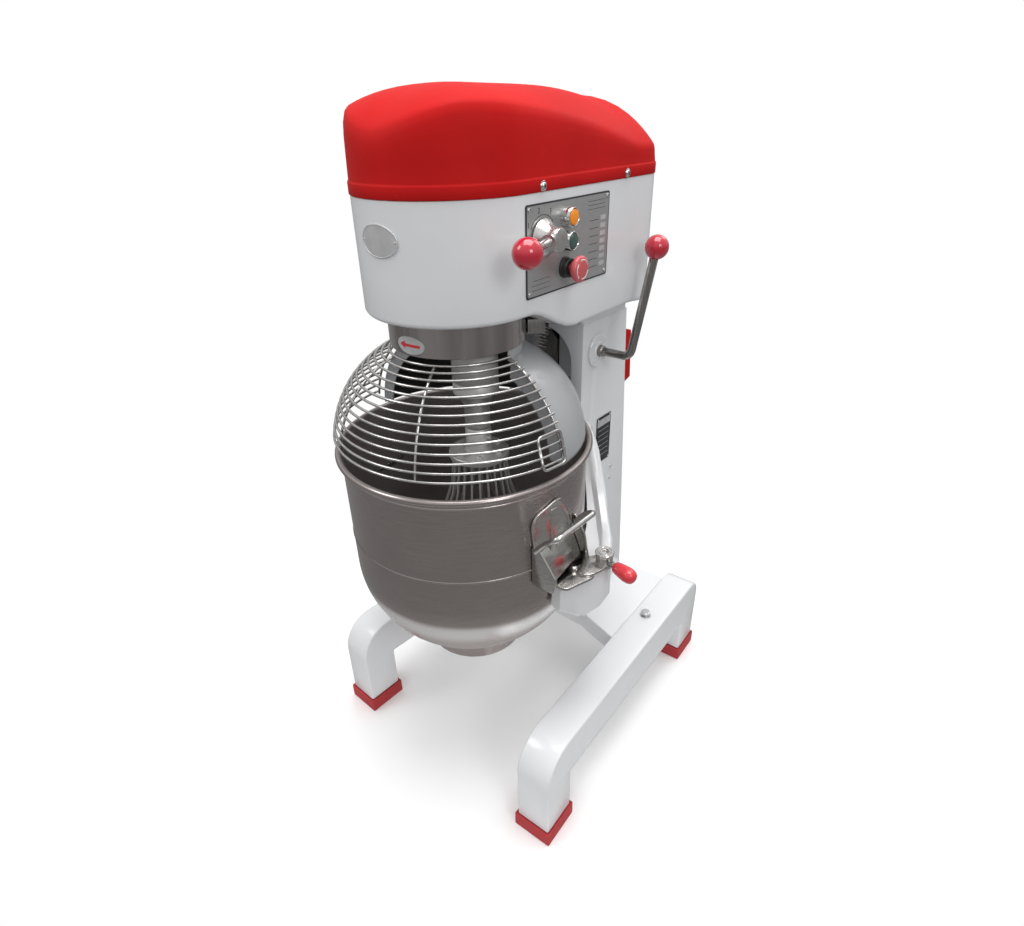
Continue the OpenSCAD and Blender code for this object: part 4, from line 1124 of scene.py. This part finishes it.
class MIXER_OT_drive(Step):
    """Finishes the drive inside the head and builds the beater's shaft"""

    bl_idname = "mixer.drive"
    bl_label = "Drive"

    def build(self, sizes):
        dress("ring_gear bearings motor_pulley counter_shaft planet_carrier lift_rack",
              "gear_steel")
        dress("bearing_deck belt_deck", "enamel")
        dress("motor", "motor_paint")
        dress("drive_belt", "belt_rubber")
        shape = Shape().add(cut_away(from_cad("beater_shaft"), (0, 0, 937), (0, 0, -1)))
        shape.add(lathe([(0, 772), (11.5, 772), (12.5, 773), (12.5, 804), (21, 805), (21.5, 806),
                         (21.5, 846), (25, 849), (25, 862), (35, 864), (38, 867), (38, 884),
                         (37, 885), (37, 887), (38, 888), (38, 936.8), (0, 936.8)], 72),
                  at(*BEATER))
        piece("shaft_of_beater", shape, "whisk_steel", "beater",
              ["beater_shaft"])
        hub = Shape()
        hub.add(lathe([(0, 748), (50, 748), (52, 749), (52, 757), (51, 758), (30, 758.4),
                       (24, 760), (22, 764), (22, 800), (20.5, 802), (12.7, 802), (12.7, 772),
                       (0, 772)], 72), at(*BEATER))
        for i in range(6):
            x, y = arc(BEATER, 38, i * 60 + 14, i * 60 + 14, 1)[0]
            hub.add(socket_screw(5, 5), at(x, y, 757.8))
        hub.add(rod(3.2, 56, 0.6, 20), at(BEATER[0] - 28, BEATER[1], 786, (1, 0, 0)))
        piece("whisk_boss", hub, "whisk_steel", "beater", ["whisk_hub"])
        wires = Shape()
        top_z, low_z, reach, top_r = 747.5, 367, 131.5, 46
        middle = low_z + 132
        for i in range(sizes.loops):
            drop = i * 2.4
            r = reach - drop * 0.5
            path = [(-top_r, 0, top_z), (-top_r, 0, top_z - 12)]
            path += [(-top_r - (r - top_r) * ease(t, 0, 1.15), 0,
                      top_z - 12 - (top_z - 12 - middle) * t) for t in (0.2, 0.4, 0.6, 0.8)]
            path += [(x, 0, middle + z * (r - drop) / r)
                     for x, z in arc((0, 0), r, 180, 360, 26)]
            path += [(-x, y, z) for x, y, z in reversed(path[:6])]
            wires.add(wire(path, 2.0, 8), at(*BEATER) @ Matrix.Rotation(
                math.pi * i / sizes.loops, 4, "Z"))
        piece("whisk_loops", wires, "whisk_steel", "beater", ["whisk_wires"],
              sharp=60)


# ------------------------------------------------------------------ bowl


class MIXER_OT_bowl(Step):
    """Builds the bowl with its rolled rim, seam and foot ring"""

    bl_idname = "mixer.bowl"
    bl_label = "Bowl"

    def build(self, sizes):
        roll, roll_r = 5.5, RIM_R - 5.5
        wall = 2.5
        outer = [(x, BOWL_CENTRE_Z + z * BOTTOM_DEPTH / BOWL_R)
                 for x, z in arc((0, 0), BOWL_R, -90, 0, 60)]
        outer += [(BOWL_R, 560), (BOWL_R, 592), (BOWL_R, 593), (BOWL_R + 0.9, 593.6),
                  (BOWL_R + 1.1, 595), (BOWL_R + 0.9, 596.4), (BOWL_R, 597), (BOWL_R, 598),
                  (BOWL_R, 650), (BOWL_R, 700), (BOWL_R, 736.2), (BOWL_R, 737.2),
                  (BOWL_R + 0.9, 737.8), (BOWL_R + 0.9, 739.2), (BOWL_R, 739.8), (BOWL_R, 740.8),
                  (BOWL_R, 744)]
        lip = [(roll_r + roll * math.cos(math.radians(a)),
                RIM_Z - roll + roll * math.sin(math.radians(a))) for a in range(-120, 181, 15)]
        inner = [(BOWL_R - wall + 1.4, 747), (BOWL_R - wall, 742), (BOWL_R - wall, 640)]
        inner += [(x, BOWL_CENTRE_Z + z * BOTTOM_DEPTH / BOWL_R)
                  for x, z in arc((0, 0), BOWL_R - wall, 0, -90, 60)]
        skin = Shape()
        skin.add(lathe([(max(r, 0), z) for r, z in outer + lip[:13]], 192))
        # The inner skin takes the second finish, the steel darkened: painted shade.
        skin.add(lathe([(max(r, 0), z) for r, z in lip[12:] + inner], 192), None, 1)
        bmesh.ops.remove_doubles(skin.bm, verts=skin.bm.verts, dist=0.01)
        bmesh.ops.recalc_face_normals(skin.bm, faces=skin.bm.faces)
        piece("bowl_skin", skin, "bowl_steel bowl_inside", "lift", ["bowl"],
              sharp=60)
        ring = lathe([(94, 338), (94, 304.8), (94.6, 304), (97.4, 304), (98, 304.8), (98, 305.6),
                      (98, 338), (98.8, 342), (101, 345.6), (98, 350), (94, 348.5), (94, 338)],
                     128)
        piece("foot_ring", ring, "bowl_steel", "lift",
              ["bowl_foot_ring"])


def on_wall(bm, middle_z, azimuth, radius=None):
    """Wraps a shape drawn flat, X along the wall and Y up, round the bowl's wall."""
    radius = radius or BOWL_R
    for v in bm.verts:
        a = math.radians(azimuth) + v.co.x / radius
        r = radius + v.co.z
        v.co = Vector((r * math.cos(a), r * math.sin(a), middle_z + v.co.y))
    bmesh.ops.recalc_face_normals(bm, faces=bm.faces)
    return bm


class MIXER_OT_brackets(Step):
    """Builds the bowl's side brackets and their bent-rod handles"""

    bl_idname = "mixer.brackets"
    bl_label = "Brackets"

    def build(self, sizes):
        brackets, handles = Shape(), Shape()
        for side in (Matrix(), MIRROR_X):
            self.shield(brackets, side)
            self.ears(brackets, side)
            path = bends([(221, -80, 644), (228, -80, 652), (244, -83, 672), (271, -90, 695),
                          (275, 8, 695), (250, 22, 676), (230, 26, 652), (221, 26, 640)], 11)
            handles.add(wire(path, 5, 16), side.copy())
        piece("bracket_set", brackets, "sheet_steel", "lift",
              ["bowl_brackets"], sharp=45)
        piece("handle_set", handles, "bright_steel", "lift", ["bowl_handles"],
              sharp=60)

    def shield(self, shape, side):
        """The pressed shield on the wall: a raised panel with a rib down its middle."""
        points = [(-52, -36), (-58, 18), (-48, 36), (-6, 50), (8, 47), (40, -8), (40, -36)]
        panel = prism([(p[0], p[1]) for p in bends([(x, y, 0) for x, y in points
                                                    + points[:1]], 9, 4)][:-1], 5.5)
        soften(panel, 2.4, 3, 50)
        face = max(panel.faces, key=lambda f: f.calc_area() * (f.normal.z > 0.9))
        bmesh.ops.inset_region(panel, faces=[face], thickness=6, depth=-2.6)
        bmesh.ops.triangulate(panel, faces=panel.faces)
        bmesh.ops.subdivide_edges(panel, edges=[e for e in panel.edges
                                                if e.calc_length() > 18], cuts=4,
                                  use_grid_fill=True)
        shape.add(on_wall(panel, 668, -5), side.copy())
        rib = box((15, 84, 5), 2.2, 3)
        bmesh.ops.subdivide_edges(rib, edges=[e for e in rib.edges if e.calc_length() > 8],
                                  cuts=2)
        shape.add(on_wall(rib, 660, -7.5, BOWL_R + 2), side.copy())

    def ears(self, shape, side):
        """The bent sheet below the handle that the ear and its pin belong to."""
        z0 = ARM_PLATE_Z + 0.3
        ear = prism(bent_outline(arc((0, 0), BOWL_R - 0.8, -14.2, 10, 6)
                                 + [(266, 34), (281, 8), (262, -50)], 9), 6, 1.2)
        shape.add(ear, side @ at(z=z0))
        left = prism(bent_outline([(0, 0), (44, 0), (50, 30), (16, 76), (0, 78)], 5), 4, 0.8)
        shape.add(left, side @ at(209, -70, z0 + 6) @ turned(90, "X"))
        front = prism(bent_outline([(0, 0), (100, 18), (100, 74), (0, 62)], 6), 4, 0.8)
        shape.add(front, side @ at(238, -72, z0 + 8) @ turned(88) @ turned(66, "X"))
        inner = prism(bent_outline([(0, 0), (38, 0), (26, 60), (6, 92), (0, 92)], 6), 4, 0.8)
        shape.add(inner, side @ at(217.5, 34, z0 + 6) @ turned(90, "X"))


# ------------------------------------------------------------------ yoke and clamps

CRADLE_R = 226
# Along the yoke's arm: direction, outer radius, underside and top of the rib.
YOKE_ROWS = (
    (83, 239.3, 500, 728), (74, 247, 499, 728), (66, 259.5, 496, 728), (61, 262, 494, 728),
    (57, 254, 492, 728), (53.5, 253, 491, 722), (50, 256, 490, 700), (46, 259, 489, 664),
    (41, 262, 488, 634), (34, 265, 488, 612), (27, 270, 488, 600), (20, 279, 487, 592),
    (13, 288, 484, 566), (6, 284, 478, 560), (0, 268, 468, 560), (-5, 258, 486, 560),
    (-9, 246, 496, 560))


class MIXER_OT_yoke(Step):
    """Builds the lifting yoke that cradles the bowl, its posts and the bowl's clamps"""

    bl_idname = "mixer.yoke"
    bl_label = "Yoke"

    def build(self, sizes):
        shape = Shape()
        for side in (Matrix(), MIRROR_X):
            rings = []
            for turn, out, low, high in YOKE_ROWS:
                lip = 16 if high > 566 else 0.6
                section = [(224.5, low + 6), (out - 8, low), (out, low + 8), (out, high - 7),
                           (out - 5, high), (max(out - 17, CRADLE_R + 2), high),
                           (max(out - 21, CRADLE_R + 1.5), high - lip * 0.5),
                           (max(out - 24, CRADLE_R + 1), high - lip),
                           (CRADLE_R, high - lip - 1.5), (CRADLE_R - 0.01, high - 30)]
                a = math.radians(turn)
                rings.append([(r * math.cos(a), r * math.sin(a), z) for r, z in section])
            arm = loft(rings)
            shape.add(arm, side.copy())
        back = prism(arc((0, 0), CRADLE_R, 105.7, 74.3, 12) + [(61.2, 237.6), (-61.2, 237.6)], 256)
        spine = prism([(-34, 236), (34, 236), (34, 261), (-34, 261)], 256, 1)
        shape.add(back, at(z=500.5))
        shape.add(spine, at(z=500.5))
        piece("yoke_casting", shape, "enamel", "lift", ["yoke"], sharp=40)
        self.posts()
        self.clamps()

    def posts(self):
        """Pins in the ears, and the posts that the clamps turn on, with their caps."""
        pins = Shape()
        for side in (Matrix(), MIRROR_X):
            pins.add(lathe([(0, 0), (6, 0), (6, 27), (5, 28.5), (3, 29.9), (0, 30)], 32),
                     side @ at(*PIN, ARM_PLATE_Z - 14))
            pins.add(rod(6, 44, 0.3), side @ at(*POST, ARM_PLATE_Z - 20))
            pins.add(lathe([(0, 0), (16.4, 0), (17, 0.8), (17, 5), (16.2, 6), (12.6, 6),
                            (12, 5.2), (11.2, 5.2), (10.6, 6), (8.2, 6), (7.4, 4.4), (5.4, 4.2),
                            (5, 2.2), (0, 2.2)], 56), side @ at(*POST, ARM_PLATE_Z + 24))
        piece("pin_set", pins, "bright_steel", "lift", ["yoke_pins"])

    def clamps(self):
        """The clamps that turn on the posts, each with a tongue and a grip."""
        for body, side in (("right_clamp", Matrix()), ("left_clamp", MIRROR_X)):
            base = side @ at(*POST)
            clamp = Shape()
            clamp.add(lathe([(6.1, 0), (14.4, 0), (15, 0.6), (15, 22.8), (14.4, 23.4),
                             (6.1, 23.4), (6.1, 0)], 56), base @ at(z=ARM_PLATE_Z + 0.3))
            tongue = bent_outline([(2, 14), (15, 5), (15, -16), (4, -50), (-12, -60),
                                   (-42, -46), (-42, -26), (-14, 10)], 8)
            clamp.add(prism(tongue, 5, 0.9), base @ at(z=ARM_PLATE_Z + 6.6))
            stem = base @ at(z=ARM_PLATE_Z + 12) @ turned(-13)
            clamp.add(rod(6, 13, 0.4), stem @ at(14.2, 0, 0, (1, 0, 0)))
            name = "clamp_right" if body == "right_clamp" else "clamp_left"
            piece(f"{name}_body", clamp, "sheet_steel", body, [name])
            grip = lathe([(0, 0), (8.6, 0), (9.8, 1), (11.4, 8), (12.9, 18), (13.6, 26),
                          (13.4, 33), (12.2, 38), (9.8, 41.6), (6.2, 43.8), (2.8, 44.5),
                          (0, 44.6)], 48)
            hold = Shape().add(grip, stem @ at(26.6, 0, 0, (1, 0, 0)))
            piece(f"{name}_handle", hold, "grip", body, [f"{name}_grip"])


# ------------------------------------------------------------------ lift


class MIXER_OT_lift(Step):
    """Builds the lift lever, its ball and its flange on the column"""

    bl_idname = "mixer.lift"
    bl_label = "Lift lever"

    def build(self, sizes):
        y, z = LIFT_AXIS
        flange = Shape()
        flange.add(lathe([(11.4, 0), (32.4, 0), (33, 0.6), (33, 4.6), (31.8, 6), (18, 6.4),
                          (16.4, 8), (12, 8), (11.4, 7.4), (11.4, 0)], 64),
                   at(COLUMN_HALF, y, z, (1, 0, 0)))
        for turn in range(45, 360, 90):
            dy, dz = arc((0, 0), 24.5, turn, turn, 1)[0]
            flange.add(socket_screw(3.6, 2.2), at(COLUMN_HALF + 5.8, y + dy, z + dz, (1, 0, 0)))
        piece("lift_boss", flange, "enamel", "frame", ["lift_flange"])
        run = Vector(LIFT_BALL) - Vector((165, y, z))
        end = Vector(LIFT_BALL) - run.normalized() * 18
        crank = Shape().add(cut_away(from_cad("lift_shaft"), (104, 0, 0), (1, 0, 0)))
        crank.add(lathe([(0, 0), (11, 0), (11, 4), (9.6, 6.5), (0, 6.5)], 40),
                  at(102, y, z, (1, 0, 0)))
        crank.add(wire(bends([(103, y, z), (165.5, y, z), end], 17, 10), 8, 24))
        piece("lift_crank", crank, "dark_steel", "lever",
              ["lift_shaft", "lift_lever"])
        piece("lift_knob", Shape().add(knob(21), at(*LIFT_BALL, -run)), "knob", "lever",
              ["lift_ball"])


# ------------------------------------------------------------------ stage

LENS = 22.12
CAMERA_PLACE = (720.594, -728.267, 1263.042)
# Yaw, pitch and roll, in radians.
CAMERA_TURN = (0.698, 0.507, -0.025)
# Name, place and size in metres, and power in watts.
LIGHTS = (
    ("key", (-1.6, -2.0, 3.0), 1.1, 20), ("fill", (2.6, -1.2, 2.4), 0.9, 16),
    ("top", (0.2, 0.1, 3.4), 2.0, 62), ("rim", (0.4, 2.6, 2.8), 1.2, 10))

class MIXER_OT_stage(Step):
    """Sets the camera, the soft lights and the pale floor"""

    bl_idname = "mixer.stage"
    bl_label = "Stage"

    def build(self, sizes):
        scene = bpy.context.scene
        scene.view_settings.view_transform = "Standard"
        camera = bpy.data.objects.new("camera", bpy.data.cameras.new("camera"))
        scene.collection.objects.link(camera)
        camera.data.sensor_width = 36
        camera.data.lens = LENS
        yaw, pitch, roll = CAMERA_TURN
        camera.rotation_euler = (
            Matrix.Rotation(yaw, 3, "Z") @ Matrix.Rotation(math.pi / 2 - pitch, 3, "X")
            @ Matrix.Rotation(roll, 3, "Z")).to_euler()
        camera.location = TO_FRAME @ Vector(CAMERA_PLACE)
        scene.camera = camera
        for name, place, size, power in LIGHTS:
            light = bpy.data.objects.new(name, bpy.data.lights.new(name, "AREA"))
            light.data.size, light.data.energy = size, power
            light.location = place
            light.rotation_euler = (Vector((0, 0, 0.7)) - Vector(place)).to_track_quat(
                "-Z", "Y").to_euler()
            scene.collection.objects.link(light)
        self.floor(scene)
        self.sky(scene)

    def floor(self, scene):
        """A pale round floor that fades out at its edge."""
        bm = bmesh.new()
        bmesh.ops.create_circle(bm, cap_ends=True, segments=96, radius=3.0)
        mesh = bpy.data.meshes.new("floor")
        bm.to_mesh(mesh)
        bm.free()
        m = Maker("floor_paper", Base_Color=(0.93, 0.93, 0.93), Roughness=0.8)
        m.set(Specular_IOR_Level=0.1)
        place = m.node("ShaderNodeTexCoord", output="Object")
        far = m.node("ShaderNodeVectorMath", {"operation": "LENGTH"}, {0: place}, "Value")
        clear = m.node("ShaderNodeBsdfTransparent")
        mirror = m.node("ShaderNodeLightPath", output="Is Glossy Ray")
        unseen = m.node("ShaderNodeMath", {"operation": "MAXIMUM"},
                        {0: m.step(far, 0.5, 0.95), 1: mirror})
        faded = m.node("ShaderNodeMixShader", {}, {
            "Fac": unseen, 1: Signal(m, m.shader.outputs[0]), 2: clear})
        m.feed(m.tree.nodes["Material Output"].inputs["Surface"], faded)
        mesh.materials.append(m.material)
        floor = bpy.data.objects.new("floor", mesh)
        scene.collection.objects.link(floor)

    def sky(self, scene):
        """White behind the object, and a softer room in its reflections."""
        world = bpy.data.worlds.new("studio")
        world.use_nodes = True
        scene.world = world
        net = Net(world.node_tree)
        way = net.node("ShaderNodeTexCoord", output="Generated")
        up = net.node("ShaderNodeSeparateXYZ", {}, {"Vector": way}, "Z")
        greys = ((0.0, 0.5), (0.18, 0.3), (0.44, 0.26), (0.52, 0.38), (0.72, 0.78), (1.0, 0.9))
        ramp = net.node("ShaderNodeValToRGB",
                        {"stops": [(place, (grey, grey, grey)) for place, grey in greys]},
                        {"Fac": up * 0.5 + 0.5})
        room = net.node("ShaderNodeBackground", {}, {"Color": ramp})
        white = net.node("ShaderNodeBackground", {}, {"Color": (1, 1, 1)})
        seen = net.node("ShaderNodeLightPath", output="Is Camera Ray")
        both = net.node("ShaderNodeMixShader", {}, {"Fac": seen, 1: room, 2: white})
        net.feed(net.tree.nodes["World Output"].inputs["Surface"], both)


STEPS = (MIXER_OT_stage, MIXER_OT_base, MIXER_OT_column, MIXER_OT_head, MIXER_OT_cover,
         MIXER_OT_controls, MIXER_OT_collar, MIXER_OT_guard, MIXER_OT_drive, MIXER_OT_bowl,
         MIXER_OT_brackets, MIXER_OT_yoke, MIXER_OT_lift)


class MIXER_PT_build(bpy.types.Panel):
    """Lists the settings and the steps of the build"""

    bl_idname = "MIXER_PT_build"
    bl_label = "Mixer"
    bl_space_type = "VIEW_3D"
    bl_region_type = "UI"
    bl_category = "Mixer"

    def draw(self, context):
        for group in (context.scene.mixer_colours, context.scene.mixer_sizes):
            for name in group.bl_rna.properties.keys():
                if name not in ("rna_type", "name"):
                    self.layout.prop(group, name)
        for step in STEPS:
            self.layout.operator(step.bl_idname)


CLASSES = (MixerColours, MixerSizes, *STEPS, MIXER_PT_build)


def register():
    """Adds the settings, the steps and the panel."""
    for each in CLASSES:
        bpy.utils.register_class(each)
    bpy.types.Scene.mixer_colours = bpy.props.PointerProperty(type=MixerColours)
    bpy.types.Scene.mixer_sizes = bpy.props.PointerProperty(type=MixerSizes)


def unregister():
    """Takes them away again."""
    del bpy.types.Scene.mixer_colours
    del bpy.types.Scene.mixer_sizes
    for each in reversed(CLASSES):
        bpy.utils.unregister_class(each)


def main():
    """Runs every step."""
    register()
    for step in STEPS:
        getattr(bpy.ops.mixer, step.bl_idname.split(".")[1])()


if __name__ == "__main__":
    main()
